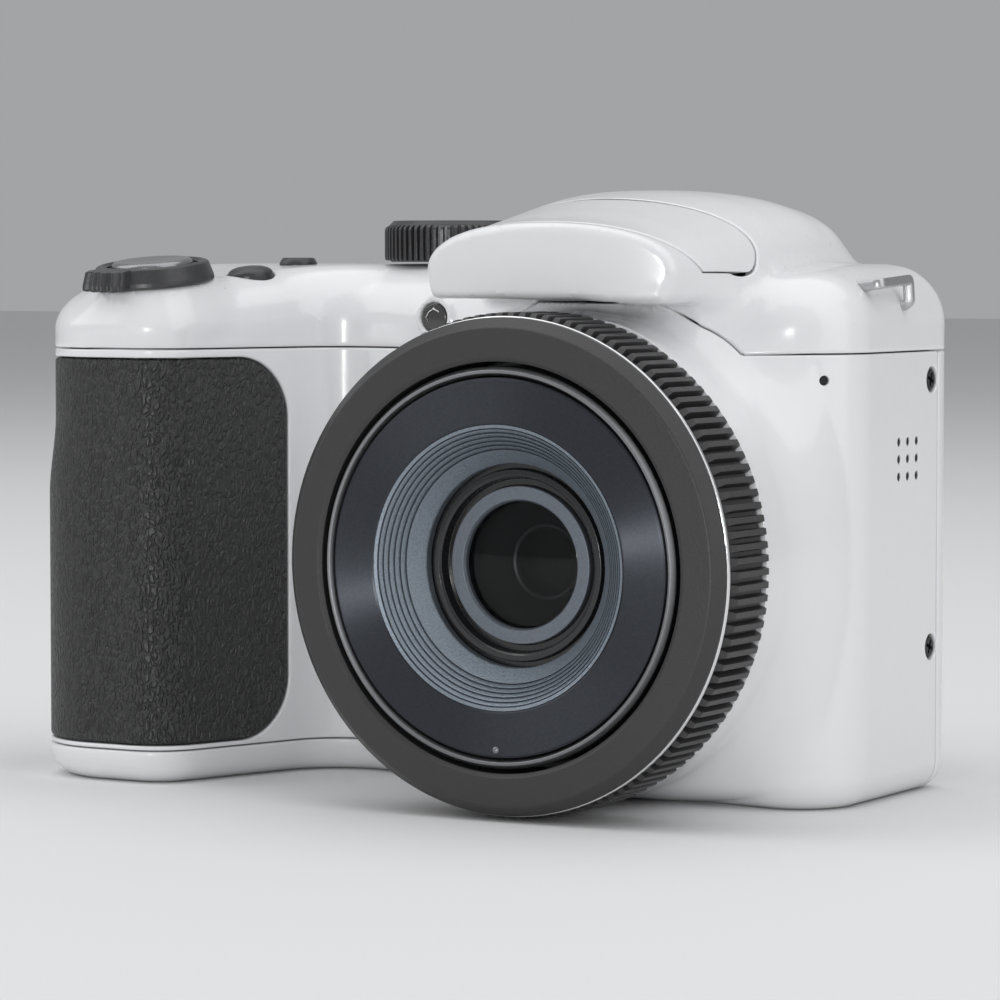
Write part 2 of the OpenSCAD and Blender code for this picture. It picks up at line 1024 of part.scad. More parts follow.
cell_flange = 8;
retainer_r = 10.2;
glass_edge_r = 9.6;
glass_front = 6.9;
glass_sag = 1.6;
glass_t = 3.6;

// Black cell that carries the glass inside the inner barrel
module lens_cell() {
    color("#1c1c1e")
        on_lens()
        rotate_extrude()
        polygon([
            [retainer_r + run, face_front + groove_depth + 1.25],
            [groove_r - 2, face_front + groove_depth + 1.25],
            [groove_r - 2, cell_flange],
            [inner_bore - run, cell_flange],
            [inner_bore - run, cell_flange + 1.5],
            [groove_end_r, cell_flange + 1.5],
            [groove_end_r, 13],
            [8.6, 13],
            [8.6, 12.2],
            [glass_edge_r + run, 12.2],
            [glass_edge_r + run, 7.8],
            [retainer_r + run, 7.8],
        ]);
}

module glass_retainer() {
    color("#6d7480")
        on_lens()
        rotate_extrude()
        polygon([
            [glass_r, 7.6],
            [glass_r, 6.9],
            [glass_r + 0.5, 6.5],
            [retainer_r, 6.5],
            [retainer_r, 7.75],
            [glass_r + 0.6, 7.75],
        ]);
}

// Front glass: a dome on a flat-backed disc
module front_glass() {
    color("midnightblue")
        on_lens()
        rotate_extrude()
        polygon(concat(
            [for (i = [0:8]) [glass_edge_r * i / 8, glass_front + glass_sag * pow(i / 8, 2)]],
            [[glass_edge_r, glass_front + glass_sag + glass_t], [0, glass_front + glass_sag + glass_t]]
        ));
}

shutter_bore = 6;
shutter_span = [15, 19];

module shutter_unit() {
    color("#222222")
        on_lens()
        tube(inner_bore - run, shutter_bore, shutter_span[0], shutter_span[1]);
}

// Boards, sensor and chassis behind the lens
chassis_y = sensor_plane - lens_front + run;
chassis_t = 1;
chassis_x = [-46, 27];
chassis_z = [6, seam_top - 1.9];
board_y = 10.6;
board_t = 1.2;
post_r = 2;
foot_z = 4.2;

module chassis() {
    color("silver")
        difference() {
            union() {
                box([chassis_x[0], chassis_y, chassis_z[0]], [chassis_x[1], chassis_y + chassis_t, chassis_z[1]]);
                box([-12, -6, wall + 0.2], [12, chassis_y + chassis_t, foot_z]);
                box([-12, chassis_y, wall + 0.2], [12, chassis_y + chassis_t, chassis_z[0] + 1]);
                for (x = [chassis_x[0] + 4, chassis_x[1] - 4], z = [chassis_z[0] + 5, chassis_z[1] - 5])
                    translate([x, chassis_y, z])
                    rotate([-90, 0, 0])
                    cylinder(r = post_r, h = board_y - chassis_y);
            }
            box([-13, 0, lens_height - 12], [13, 20, lens_height + 12]);
            cylinder(r = bush_r + run, h = 10);
        }
}

module tripod_bush() {
    color("silver")
        difference() {
            union() {
                cylinder(r = bush_r, h = socket_depth + 0.8);
                translate([0, 0, foot_z + 0.1])
                    cylinder(r = bush_r + 1, h = 0.8);
            }
            translate([0, 0, -1])
                cylinder(r = socket_r, h = socket_depth + 1);
        }
}

module image_sensor() {
    color("#304050")
        union() {
            box([-7, chassis_y, lens_height - 6], [7, chassis_y + 2, lens_height + 6]);
            box([-12, chassis_y + 2, lens_height - 11], [12, board_y - 0.4, lens_height + 11]);
        }
}

module main_board() {
    color("darkgreen")
        box([chassis_x[0], board_y, chassis_z[0] + 2], [chassis_x[1], board_y + board_t, chassis_z[1]]);
}

module display_panel() {
    color("#202225")
        box(
            [display_x[0] + 1, board_y + board_t + 0.3, display_z[0] + 1],
            [chassis_x[1], rear_depth - wall - 0.3, display_z[1] - 1]
        );
}

module display_window() {
    color("#101114")
        box(
            [display_x[0], rear_depth - window_t, display_z[0]],
            [display_x[1], rear_depth + window_proud, display_z[1]]
        );
}

key_board_y = rear_depth - wall - 2.2;
key_board_t = 0.8;
key_board_x = [-75.5, -41];
key_board_z = [7, seam_top - 2.4];

module key_board() {
    color("darkgreen")
        box(
            [key_board_x[0], key_board_y, key_board_z[0]],
            [key_board_x[1], key_board_y + key_board_t, key_board_z[1]]
        );
}

// Push key in the rear face: a low dome on a stem
module rear_key(x, z, r, proud) {
    on_rear(x, z)
        rotate_extrude()
        polygon([
            [0, -wall - 0.4],
            [r, -wall - 0.4],
            [r, proud - 0.3],
            [r - 0.4, proud],
            [0, proud + 0.1],
        ]);
}

key_proud = 0.9;

module menu_key() { color("dimgray") rear_key(KEYS[0][1], KEYS[0][2], key_r, key_proud); }
module play_key() { color("dimgray") rear_key(KEYS[1][1], KEYS[1][2], key_r, key_proud); }
module display_key() { color("dimgray") rear_key(KEYS[2][1], KEYS[2][2], key_r, key_proud); }
module erase_key() { color("dimgray") rear_key(KEYS[3][1], KEYS[3][2], key_r, key_proud); }
module record_key() { color("firebrick") rear_key(record_at[0], record_at[1], record_r, key_proud); }
module set_key() { color("dimgray") rear_key(pad_at[0], pad_at[1], set_r, key_proud + 0.4); }

module four_way_pad() {
    color("dimgray")
        on_rear(pad_at[0], pad_at[1])
        rotate_extrude()
        polygon([
            [set_r + key_play, -wall - 0.4],
            [pad_r, -wall - 0.4],
            [pad_r, key_proud - 0.4],
            [pad_r - 0.5, key_proud],
            [set_r + key_play, key_proud - 0.2],
        ]);
}

// Top controls
lever_low = 0.5;
lever_high = 3.2;
lever_tip_r = 10.9;
lever_arc = [-128, -78];
lever_ridges = 5;

module shutter_bush() {
    color("dimgray")
        on_top(shutter_at[0], shutter_at[1])
        tube(bush_post_r, shutter_r + 0.1, -4, lever_high - 0.5);
}

module shutter_key() {
    color("#555555")
        on_top(shutter_at[0], shutter_at[1])
        rotate_extrude()
        polygon([
            [0, -3.4],
            [shutter_r, -3.4],
            [shutter_r, lever_high - 0.2],
            [shutter_r - 1, lever_high + 0.4],
            [shutter_r / 2, lever_high + 0.8],
            [0, lever_high + 0.9],
        ]);
}

// Zoom lever: a ring with a ridged finger tab at the front
module zoom_lever() {
    swing = lever_arc[1] - lever_arc[0];
    ridge = swing / (2 * lever_ridges);
    color("dimgray")
        on_top(shutter_at[0], shutter_at[1]) {
            difference() {
                union() {
                    translate([0, 0, lever_low])
                        cylinder(r1 = lever_r, r2 = lever_r - 0.5, h = lever_high - lever_low);
                    translate([0, 0, lever_low - 0.6])
                        linear_extrude(lever_high - lever_low)
                        polygon(concat(
                            [[0, 0]],
                            [
                                for (i = [0:2 * lever_ridges])
                                (lever_tip_r - (i % 2) * 0.7)
                                * [cos(lever_arc[0] + i * ridge), sin(lever_arc[0] + i * ridge)]
                            ]
                        ));
                }
                translate([0, 0, lever_low - 2])
                    cylinder(r = lever_r - 0.6, h = 2);
                translate([0, 0, lever_low - 2])
                    cylinder(r = bush_post_r + run, h = 10);
            }
        }
}

module power_key() {
    color("dimgray")
        on_top(power_at[0], power_at[1])
        rotate_extrude()
        polygon([[0, -3.5], [power_r, -3.5], [power_r, 0.3], [power_r - 1, 0.8], [0, 1]]);
}

module top_key() {
    color("dimgray")
        on_top(top_key_at[0], top_key_at[1])
        rotate_extrude()
        polygon([[0, -3.2], [top_key_r, -3.2], [top_key_r, 0.5], [top_key_r - 0.3, 0.8], [0, 0.8]]);
}

dial_ribs = 44;
dial_lift = 0.2;

module mode_dial() {
    pitch = 360 / dial_ribs;
    color("dimgray")
        on_top(dial_at[0], dial_at[1])
        union() {
            translate([0, 0, dial_lift])
                linear_extrude(dial_h - 0.8)
                polygon([
                    for (i = [0:dial_ribs - 1], s = [0, 0.5])
                    (dial_r - 2 * s * 0.4) * [cos((i + s) * pitch), sin((i + s) * pitch)]
                ]);
            translate([0, 0, dial_lift + dial_h - 0.8])
                cylinder(r1 = dial_r - 0.5, r2 = dial_r - 1.1, h = 0.8);
        }
}

module dial_shaft() {
    color("silver")
        on_top(dial_at[0], dial_at[1])
        translate([0, 0, -6])
        cylinder(r = shaft_r, h = 6 + dial_lift);
}

module dial_bush() {
    color("silver")
        on_top(dial_at[0], dial_at[1])
        tube(dial_bush_r, shaft_r + run, -5, 0.1);
}

// Speaker and microphone behind their holes
module speaker() {
    color("#333333")
        along_x(side_right - wall - 3.2, speaker_at[0] - 0.5, speaker_at[1])
        cylinder(r = 4.6, h = 3.1);
}

module microphone() {
    color("#333333")
        at_mic()
        translate([0, 0, -wall - 2.2])
        cylinder(r = 1.6, h = 1.8);
}

// Flash capacitor along the front of the grip
capacitor_at = [-68, -23.5];
capacitor_r = 6.5;
capacitor_h = 42;

module flash_capacitor() {
    color("#222244")
        translate([capacitor_at[0], capacitor_at[1], wall + 0.1])
        cylinder(r = capacitor_r, h = capacitor_h);
}

// Zoom motor beside the drum
motor_x = -38;
motor_low = 8;
motor_r = 4;
motor_h = 14;
gearbox_r = 4.5;
gearbox_h = 5;

module zoom_motor() {
    color("silver")
        translate([motor_x, chassis_y - gearbox_r - 2 * run, motor_low])
        union() {
            cylinder(r = motor_r, h = motor_h);
            translate([0, 0, motor_h])
                cylinder(r = gearbox_r, h = gearbox_h);
        }
}

front_cover();
rear_cover();
top_cover();
bottom_cover();
grip_rubber();
strap_lugs();
case_screws();
af_lamp();
tripod_bush();
chassis();
main_board();
key_board();
display_panel();
display_window();
cell_holder();
aa_cells();
cell_contacts();
flash_capacitor();
speaker();
microphone();
lens_drum();
front_ring();
trim_ring();
rib_ring();
cam_ring();
outer_barrel();
inner_barrel();
lens_face();
groove_ring();
lens_cell();
glass_retainer();
front_glass();
shutter_unit();
rear_glass();
image_sensor();
zoom_motor();
flash_lid();
flash_hinge();
flash_pin();
flash_reflector();
flash_tube();
flash_window();
shutter_bush();
shutter_key();
zoom_lever();
power_key();
top_key();
mode_dial();
dial_shaft();
dial_bush();
menu_key();
play_key();
display_key();
erase_key();
record_key();
four_way_pad();
set_key();
battery_door();
door_contacts();
door_pin();
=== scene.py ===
import math

import bmesh
import bpy
import numpy as np
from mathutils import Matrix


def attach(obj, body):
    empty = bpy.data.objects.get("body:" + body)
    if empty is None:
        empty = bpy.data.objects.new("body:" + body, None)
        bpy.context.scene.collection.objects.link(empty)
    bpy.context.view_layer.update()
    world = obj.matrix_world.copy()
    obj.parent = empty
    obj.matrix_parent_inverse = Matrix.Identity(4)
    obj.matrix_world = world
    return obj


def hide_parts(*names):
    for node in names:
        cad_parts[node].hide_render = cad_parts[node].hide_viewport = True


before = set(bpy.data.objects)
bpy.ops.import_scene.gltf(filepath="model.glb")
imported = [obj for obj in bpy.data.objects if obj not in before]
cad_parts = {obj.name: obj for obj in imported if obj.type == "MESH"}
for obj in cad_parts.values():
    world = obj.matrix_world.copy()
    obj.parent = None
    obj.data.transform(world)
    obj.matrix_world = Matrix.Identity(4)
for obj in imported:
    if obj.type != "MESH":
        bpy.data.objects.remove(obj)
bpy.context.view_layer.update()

# Photographer's table: a pale sheet under the camera body, soft boxes around it, and the
# photographer's own lens a little over half a metre away, level with the top plate.
scene = bpy.context.scene
scene.view_settings.view_transform = "Standard"
view_data = bpy.data.cameras.new("photo_view")
view_data.sensor_width = 36
view_data.lens = 151.6
view_data.clip_start = 0.01
photo_view = bpy.data.objects.new("photo_view", view_data)
photo_view.location = (0.2661, -0.5060, 0.07197)
photo_view.rotation_euler = (math.radians(86.69), 0, math.radians(29.92))
scene.collection.objects.link(photo_view)
scene.camera = photo_view


def set_inputs(node, values):
    for key, value in values.items():
        node.inputs[key].default_value = value


def shader_of(paint):
    return paint.node_tree.nodes["Principled BSDF"]


world = bpy.data.worlds.new("studio_air")
scene.world = world
world.use_nodes = True
set_inputs(world.node_tree.nodes["Background"], {"Color": (0.86, 0.88, 0.9, 1), "Strength": 0.42})

sheet_paint = bpy.data.materials.new("table_sheet")
sheet_paint.use_nodes = True
set_inputs(shader_of(sheet_paint), {"Base Color": (0.78, 0.78, 0.78, 1), "Roughness": 0.9})
sheet_mesh = bpy.data.meshes.new("table_sheet")
sheet_mesh.from_pydata([(-4, -4, 0), (4, -4, 0), (4, 4, 0), (-4, 4, 0)], [], [(0, 1, 2, 3)])
sheet_mesh.materials.append(sheet_paint)
table_sheet = bpy.data.objects.new("table_sheet", sheet_mesh)
scene.collection.objects.link(table_sheet)


def soft_box(name, place, target, size, power):
    lamp = bpy.data.lights.new(name, "AREA")
    lamp.shape = "RECTANGLE"
    lamp.size, lamp.size_y = size
    lamp.energy = power
    box = bpy.data.objects.new(name, lamp)
    scene.collection.objects.link(box)
    box.location = place
    aim = np.array(target) - np.array(place)
    pitch = math.atan2(math.hypot(aim[0], aim[1]), -aim[2])
    box.rotation_euler = (pitch, 0, math.atan2(-aim[0], aim[1]))


soft_box("box_left", (-0.95, -0.5, 0.8), (-0.02, 0, 0.04), (1.1, 1.1), 4.6)
soft_box("box_right", (0.95, -0.2, 0.5), (0, 0, 0.04), (0.9, 1.2), 3.4)
soft_box("box_top", (0.0, 0.05, 1.05), (0, 0, 0.05), (1.5, 1.2), 6)
soft_box("box_key", (0.16, -0.93, 0.088), (0, 0, 0.04), (0.08, 0.08), 1.7)

# Housing: gloss white covers moulded in ABS. One outer form, the grip, lens collar and flash
# hump melted together, is meshed once, and every cover is then cut from it along its seams.
# All lengths are in millimetres. PLAN rows: x, y, corner radius of the outline from above.
PLAN = np.array([
    (35, 19.5, 5), (-81, 19.5, 9), (-83, -35.5, 13), (-57.5, -35.5, 8), (-48, -6.5, 8), (35, -19.5, 10),
])
REAR = 19.5
TOP, TOP_ROUND, FOOT_ROUND = 71.0, 8.0, 4.0
SEAM_TOP, SEAM_FOOT, SEAM_REAR = 59.4, 4.6, 13.5
LEAN, SLOPE_START = math.radians(7), -2
SLOPE = math.tan(LEAN)
WAIST_IN, WAIST_UP, WAIST_TALL = 0.9, 39, 11
LENS_FRONT, LENS_UP = -45.0, 32.5
COLLAR_R, COLLAR_FLARE = 32.1, 9
SHUTTER_AT, POWER_AT, TOP_KEY_AT, DIAL_AT = (-64.5, -27), (-58.1, -12.6), (-58.2, 0), (-36, 6)
SEAT_R, POWER_R, TOP_KEY_R = 7.8, 3.2, 2.7
LAMP_AT, LAMP_BOSS_R = (-30, -9.95, 63.6), 2.75
# HUMP rows: y, half width, drop below the highest point, roundness of the arch.
HUMP = np.array([
    (-37, 17.6, 4.7, 2.2), (-31.8, 18.2, 4.3, 2.2), (-29, 18.8, 3.9, 2.1), (-23, 20.2, 2.7, 2),
    (-14, 21.6, 0.9, 2), (-5, 22.5, 0, 2.35), (5, 22.8, 0.6, 2.9), (11, 22.4, 2.6, 3.2),
    (15, 21.4, 6.2, 3.2), (17.2, 20, 9.4, 3),
])
HUMP_TOP, HUMP_WIDEST, VISOR_UNDER, VISOR_FRONT = 80.8, 70.1, 66.5, -34.3
HINGE_Y, HINGE_UP, LID_FOOT, LID_REACH, LID_CREST = -18, 74.8, 69.9, 5.2, (-32, 76.5)
SCREW_Y, SCREW_UPS, SCREW_HOLE_R = 11.7, (19.6, 55.5), 1.65
SPEAKER_Y, SPEAKER_UP, SPEAKER_BAY, SPEAKER_ROW = 4, 45.2, 2.8, 2.3
REAR_KEYS = (
    ("menu", -50.5, 44, 2.6), ("play", -69.5, 44, 2.6), ("display", -50.5, 10.5, 2.6),
    ("erase", -69.5, 10.5, 2.6), ("record", -46.5, 54, 2.4),
)
PAD_AT, PAD_R, KEY_PLAY = (-60, 27), 8.0, 0.12
WINDOW_MID, WINDOW_HALF, WINDOW_HOLE_ROUND = (-4, 33), (34.1, 24.6), 1.6
SOUND_AT, SOUND_R, SPEAKER_R = (31.86, -15.16, 56), 0.55, 0.5
RUBBER_LONG, RUBBER_LOW, RUBBER_HIGH, RUBBER_ROUND = 22.1, 5.4, 58.1, 8.5
DOOR = [(-79, -15.2), (-58, -15.2), (-50, -5), (-50, 14.6), (-79, 14.6)]
WALL, GAP, EDGE = 1.6, 0.09, 0.3
# A limit that doesn't apply at a point stands this far away.
FAR = 9.0


def unit(rows):
    return rows / np.linalg.norm(rows, axis=-1, keepdims=True)


def plan_distance(x, y):
    points = PLAN[:, :2]
    radii = PLAN[:, 2]
    count = len(PLAN)
    ahead = unit(np.roll(points, -1, 0) - points)
    behind = np.roll(ahead, 1, 0)
    turns = np.arctan2(
        behind[:, 0] * ahead[:, 1] - behind[:, 1] * ahead[:, 0], (behind * ahead).sum(1))
    reach = radii * np.tan(np.abs(turns) / 2)
    nearest = np.full(x.shape, 1e9)
    signed = np.zeros(x.shape)
    for i in range(count):
        nxt = (i + 1) % count
        start = points[i] + ahead[i] * reach[i]
        length = np.linalg.norm(points[nxt] - ahead[i] * reach[nxt] - start)
        dx, dy = x - start[0], y - start[1]
        along = np.clip(dx * ahead[i][0] + dy * ahead[i][1], 0, length)
        away = np.hypot(dx - along * ahead[i][0], dy - along * ahead[i][1])
        side = dx * ahead[i][1] - dy * ahead[i][0]
        closer = away < nearest
        nearest = np.where(closer, away, nearest)
        signed = np.where(closer, np.sign(side) * away, signed)
        way = np.sign(turns[i])
        left = np.array((-behind[i][1], behind[i][0]))
        centre = points[i] - behind[i] * reach[i] + left * radii[i] * way
        first = np.array((behind[i][1], -behind[i][0])) * way
        last = np.array((ahead[i][1], -ahead[i][0])) * way
        dx, dy = x - centre[0], y - centre[1]
        inside = (way * (first[0] * dy - first[1] * dx) >= 0) & (way * (dx * last[1] - dy * last[0]) >= 0)
        gap = np.hypot(dx, dy) - radii[i]
        closer = inside & (np.abs(gap) < nearest)
        nearest = np.where(closer, np.abs(gap), nearest)
        signed = np.where(closer, gap * way, signed)
    return signed


def union_round(a, b, r):
    return np.maximum(r, np.minimum(a, b)) - np.hypot(np.maximum(r - a, 0), np.maximum(r - b, 0))


def meet_round(a, b, r):
    return -union_round(-a, -b, r)


def rail(y, column):
    ys = HUMP[:, 0]
    values = HUMP[:, column]
    slopes = np.gradient(values, ys)
    i = np.clip(np.searchsorted(ys, y) - 1, 0, len(ys) - 2)
    width = ys[i + 1] - ys[i]
    t = np.clip((y - ys[i]) / width, 0, 1)
    return (
        (2 * t**3 - 3 * t**2 + 1) * values[i] + (t**3 - 2 * t**2 + t) * width * slopes[i]
        + (3 * t**2 - 2 * t**3) * values[i + 1] + (t**3 - t**2) * width * slopes[i + 1]
    )


def body_distance(x, y, z, plan):
    ahead = SLOPE_START - y
    drop = SLOPE * (ahead + np.sqrt(ahead**2 + 16)) / 2
    level = np.where(z > SEAM_TOP, SEAM_TOP + (z - SEAM_TOP) / (1 - drop / (TOP - SEAM_TOP)), z)
    waist = np.clip((z - WAIST_UP) / WAIST_TALL, 0, 1)
    waist = WAIST_IN * waist**2 * (3 - 2 * waist) * np.clip((-62 - x) / 14, 0, 1)
    r = np.where(level > 35, TOP_ROUND, FOOT_ROUND)
    q1 = plan + waist + r
    q2 = np.where(level > 35, level - TOP, -level) + r
    return np.minimum(np.maximum(q1, q2), 0) + np.hypot(np.maximum(q1, 0), np.maximum(q2, 0)) - r


def top_level(y):
    return TOP - SLOPE * max(0, SLOPE_START - y)


def lever_seat(x, y, z):
    ahead, above = y - SHUTTER_AT[1], z - top_level(SHUTTER_AT[1])
    up = above * math.cos(LEAN) - ahead * math.sin(LEAN)
    out = np.hypot(x - SHUTTER_AT[0], ahead * math.cos(LEAN) + above * math.sin(LEAN))
    post = meet_round(out - SEAT_R + 0.1 * up, up - 0.25, 0.4)
    return meet_round(post, -5 - up, 0.4)


def hump_distance(x, y, z):
    half = rail(y, 1)
    high = HUMP_TOP - rail(y, 2) - HUMP_WIDEST
    power = rail(y, 3)
    below = np.clip(HUMP_WIDEST - z, 0, 9)
    half = half - 0.4 * below**2 / (below + 1.5)
    u = np.abs(x) / half
    v = np.maximum(z - HUMP_WIDEST, 0) / high
    g = np.maximum((u**power + v**power)**(1 / power), 0.3)
    slope = np.hypot(u**(power - 1) / half, v**(power - 1) / high) / g**(power - 1)
    crown = (g - 1) / np.maximum(slope, 0.02)
    crown = meet_round(crown, VISOR_UNDER - z, 0.9)
    crown = meet_round(crown, VISOR_FRONT + 0.0085 * x**2 - y, 0.9)
    return meet_round(crown, y - HUMP[-1, 0], 3)


def housing(x, y, z, plan=None):
    if plan is None:
        plan = plan_distance(x, y)
    body = body_distance(x, y, z, plan)
    collar = np.hypot(x, z - LENS_UP) - COLLAR_R
    collar = np.maximum(np.maximum(collar, LENS_FRONT + 9 - y), y - 6)
    flare = union_round(body, collar, COLLAR_FLARE)
    flare = meet_round(flare, -z, 3)
    flare = meet_round(flare, x - 35, 5)
    form = np.minimum(body, flare)
    form = union_round(form, lever_seat(x, y, z), 3.5)
    cove = 2.5 + 6 * np.clip((x - 5) / 12, 0, 1) * np.clip((-12 - y) / 10, 0, 1)
    form = union_round(form, hump_distance(x, y, z), cove)
    boss = np.maximum(np.hypot(x - LAMP_AT[0], z - LAMP_AT[2]) - LAMP_BOSS_R, LAMP_AT[1] - y)
    return union_round(form, np.maximum(boss, y - LAMP_AT[1] - 4), 0.8)


def slope_of(field, points):
    step = 0.02
    out = np.empty_like(points)
    for axis in range(3):
        shift = np.zeros(3)
        shift[axis] = step
        out[:, axis] = field(*(points + shift).T) - field(*(points - shift).T)
    return out / (2 * step)


def settle(field, points, rounds=4):
    for _ in range(rounds):
        grade = slope_of(field, points)
        size = np.maximum((grade**2).sum(1), 0.05)
        points = points - grade * (field(*points.T) / size)[:, None]
    return points


def mesh_form(field, low, high, step):
    axes = [np.arange(low[k], high[k] + step, step) for k in range(3)]
    gx, gy = np.meshgrid(axes[0], axes[1], indexing="ij")
    plan = plan_distance(gx, gy)
    inside = np.empty([len(axis) for axis in axes], bool)
    for k, z in enumerate(axes[2]):
        inside[:, :, k] = field(gx, gy, np.full(gx.shape, z), plan) < 0
    one, two, three = (size - 1 for size in inside.shape)
    count = sum(
        inside[i:i + one, j:j + two, k:k + three].astype(np.int8)
        for i in (0, 1) for j in (0, 1) for k in (0, 1))
    active = (count > 0) & (count < 8)
    index = np.full(active.shape, -1)
    index[active] = np.arange(active.sum())
    cells = np.argwhere(active)
    points = np.array(low) + (cells + 0.5) * step
    quads = []
    for axis in range(3):
        one, two = (axis + 1) % 3, (axis + 2) % 3
        near = [slice(None)] * 3
        far = [slice(None)] * 3
        near[axis] = slice(0, -1)
        far[axis] = slice(1, None)
        crossing = np.argwhere(inside[tuple(near)] != inside[tuple(far)])
        leaving = inside[tuple(near)][tuple(crossing.T)]
        corners = []
        for da, db in ((0, 0), (-1, 0), (-1, -1), (0, -1)):
            cell = crossing.copy()
            cell[:, one] += da
            cell[:, two] += db
            corners.append(index[tuple(cell.T)])
        quad = np.stack(corners, 1)
        quads.append(np.where(leaving[:, None], quad, quad[:, ::-1]))
    quads = np.concatenate(quads)
    points = settle(field, points)
    tris = np.concatenate([quads[:, [0, 1, 2]], quads[:, [0, 2, 3]]])
    return points, tris


def trimmed(points, tris):
    used, tris = np.unique(tris, return_inverse=True)
    return points[used], tris.reshape(-1, 3)


def sides_of(tris):
    return np.concatenate([tris[:, [0, 1]], tris[:, [1, 2]], tris[:, [2, 0]]])


def cut(points, tris, g, both=False):
    g = np.where(np.abs(g) < 1e-4, 1e-4, g)
    keep = g > 0
    state = keep[tris].sum(1)
    whole = tris[state == 3]
    mixed = tris[(state == 1) | (state == 2)]
    pairs = np.sort(sides_of(mixed), 1)
    pairs = np.unique(pairs[keep[pairs[:, 0]] != keep[pairs[:, 1]]], axis=0)
    t = g[pairs[:, 0]] / (g[pairs[:, 0]] - g[pairs[:, 1]])
    fresh = points[pairs[:, 0]] * (1 - t)[:, None] + points[pairs[:, 1]] * t[:, None]
    span = len(points)
    keys = pairs[:, 0].astype(np.int64) * span + pairs[:, 1]

    def on_edge(a, b):
        low, high = np.minimum(a, b), np.maximum(a, b)
        return span + np.searchsorted(keys, low.astype(np.int64) * span + high)

    out = [whole]
    for lone_kept in (True, False):
        chosen = mixed[keep[mixed].sum(1) == (1 if lone_kept else 2)]
        lone = np.argmax(keep[chosen] == lone_kept, 1)
        rows = np.arange(len(chosen))
        a, b, c = (chosen[rows, (lone + k) % 3] for k in range(3))
        ab, ca = on_edge(a, b), on_edge(c, a)
        tip = [np.stack([a, ab, ca], 1)]
        rest = [np.stack([ab, b, c], 1), np.stack([ab, c, ca], 1)]
        out += (tip if lone_kept else rest) + ((rest if lone_kept else tip) if both else [])
    if both:
        out.append(tris[state == 0])
    merged = np.concatenate([points, fresh])
    return trimmed(merged, np.concatenate(out))


def finer(points, tris, chosen):
    sides = np.sort(sides_of(tris), 1)
    keys, place = np.unique(sides.astype(np.int64) @ np.array([len(points), 1]), return_inverse=True)
    marked = np.zeros(len(keys), bool)
    place = place.reshape(3, -1).T
    marked[place[chosen].ravel()] = True
    number = np.full(len(keys), -1)
    number[marked] = len(points) + np.arange(marked.sum())
    ends = np.stack([keys[marked] // len(points), keys[marked] % len(points)], 1)
    merged = np.concatenate([points, points[ends].mean(1)])
    mids = number[place]
    amount = (mids >= 0).sum(1)
    out = [tris[amount == 0]]
    a, b, c = tris[amount == 3].T
    ab, bc, ca = mids[amount == 3].T
    out += [np.stack(s, 1) for s in ((a, ab, ca), (ab, b, bc), (ca, bc, c), (ab, bc, ca))]
    for wanted in (1, 2):
        sel = amount == wanted
        first = np.argmax((mids[sel] >= 0) if wanted == 1 else (mids[sel] < 0), 1)
        rows = np.arange(sel.sum())
        a, b, c = (tris[sel][rows, (first + k) % 3] for k in range(3))
        ab, bc, ca = (mids[sel][rows, (first + k) % 3] for k in range(3))
        if wanted == 1:
            out += [np.stack([a, ab, c], 1), np.stack([ab, b, c], 1)]
        else:
            out += [np.stack([bc, c, ca], 1), np.stack([a, b, bc], 1), np.stack([a, bc, ca], 1)]
    return merged, np.concatenate(out)


def panel(points, tris, limits, thick=WALL):
    for limit, edge in limits:
        points, tris = cut(points, tris, limit(*points.T) - GAP)
        for share in (1.0, 0.45, 0.15):
            points, tris = cut(points, tris, limit(*points.T) - GAP - edge * share, both=True)
    normals = unit(slope_of(housing, points))
    sink = np.zeros(len(points))
    for limit, edge in limits:
        depth = np.clip(edge - limit(*points.T) + GAP, 0, edge)
        sink = np.maximum(sink, edge - np.sqrt(np.maximum(edge**2 - depth**2, 0)))
    return thickened(points - normals * sink[:, None], tris, normals, thick)


def thickened(points, tris, normals, thick):
    sides = sides_of(tris)
    ordered = np.sort(sides, 1)
    _, first, times = np.unique(ordered, axis=0, return_index=True, return_counts=True)
    rim = sides[first[times == 1]]
    n = len(points)
    inner = points - normals * thick
    wall = np.concatenate([
        np.stack([rim[:, 1], rim[:, 0], rim[:, 0] + n], 1),
        np.stack([rim[:, 1], rim[:, 0] + n, rim[:, 1] + n], 1)])
    return np.concatenate([points, inner]), np.concatenate([tris, tris[:, ::-1] + n, wall])


def piece_mesh(name, points, tris, paint, uvs=None):
    mesh = bpy.data.meshes.new(name)
    mesh.vertices.add(len(points))
    mesh.vertices.foreach_set("co", (points * 0.001).astype(np.float32).ravel())
    mesh.loops.add(3 * len(tris))
    mesh.loops.foreach_set("vertex_index", tris.astype(np.int32).ravel())
    mesh.polygons.add(len(tris))
    mesh.polygons.foreach_set("loop_start", np.arange(0, 3 * len(tris), 3, dtype=np.int32))
    mesh.update(calc_edges=True)
    if uvs is not None:
        mesh.uv_layers.new(name="turning").uv.foreach_set("vector", uvs.astype(np.float32).ravel())
    mesh.validate()
    mesh.shade_smooth()
    mesh.set_sharp_from_angle(angle=math.radians(50))
    mesh.materials.append(paint)
    return mesh


def faced_outward(points, tris, uvs=None):
    a, b, c = points[tris.T]
    if (a * np.cross(b, c)).sum() < 0:
        tris = tris[:, ::-1]
        uvs = None if uvs is None else uvs.reshape(-1, 3, 2)[:, ::-1].reshape(-1, 2)
    return points, tris, uvs


def hand_over(piece, body, nodes):
    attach(piece, body)
    if nodes:
        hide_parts(*nodes)


def piece_object(name, points, tris, paint, body, nodes, slot=None, uvs=None):
    points, tris, uvs = faced_outward(points, tris, uvs)
    piece = bpy.data.objects.new(name, piece_mesh(name, points, tris, paint, uvs))
    scene.collection.objects.link(piece)
    hand_over(piece, body, nodes)


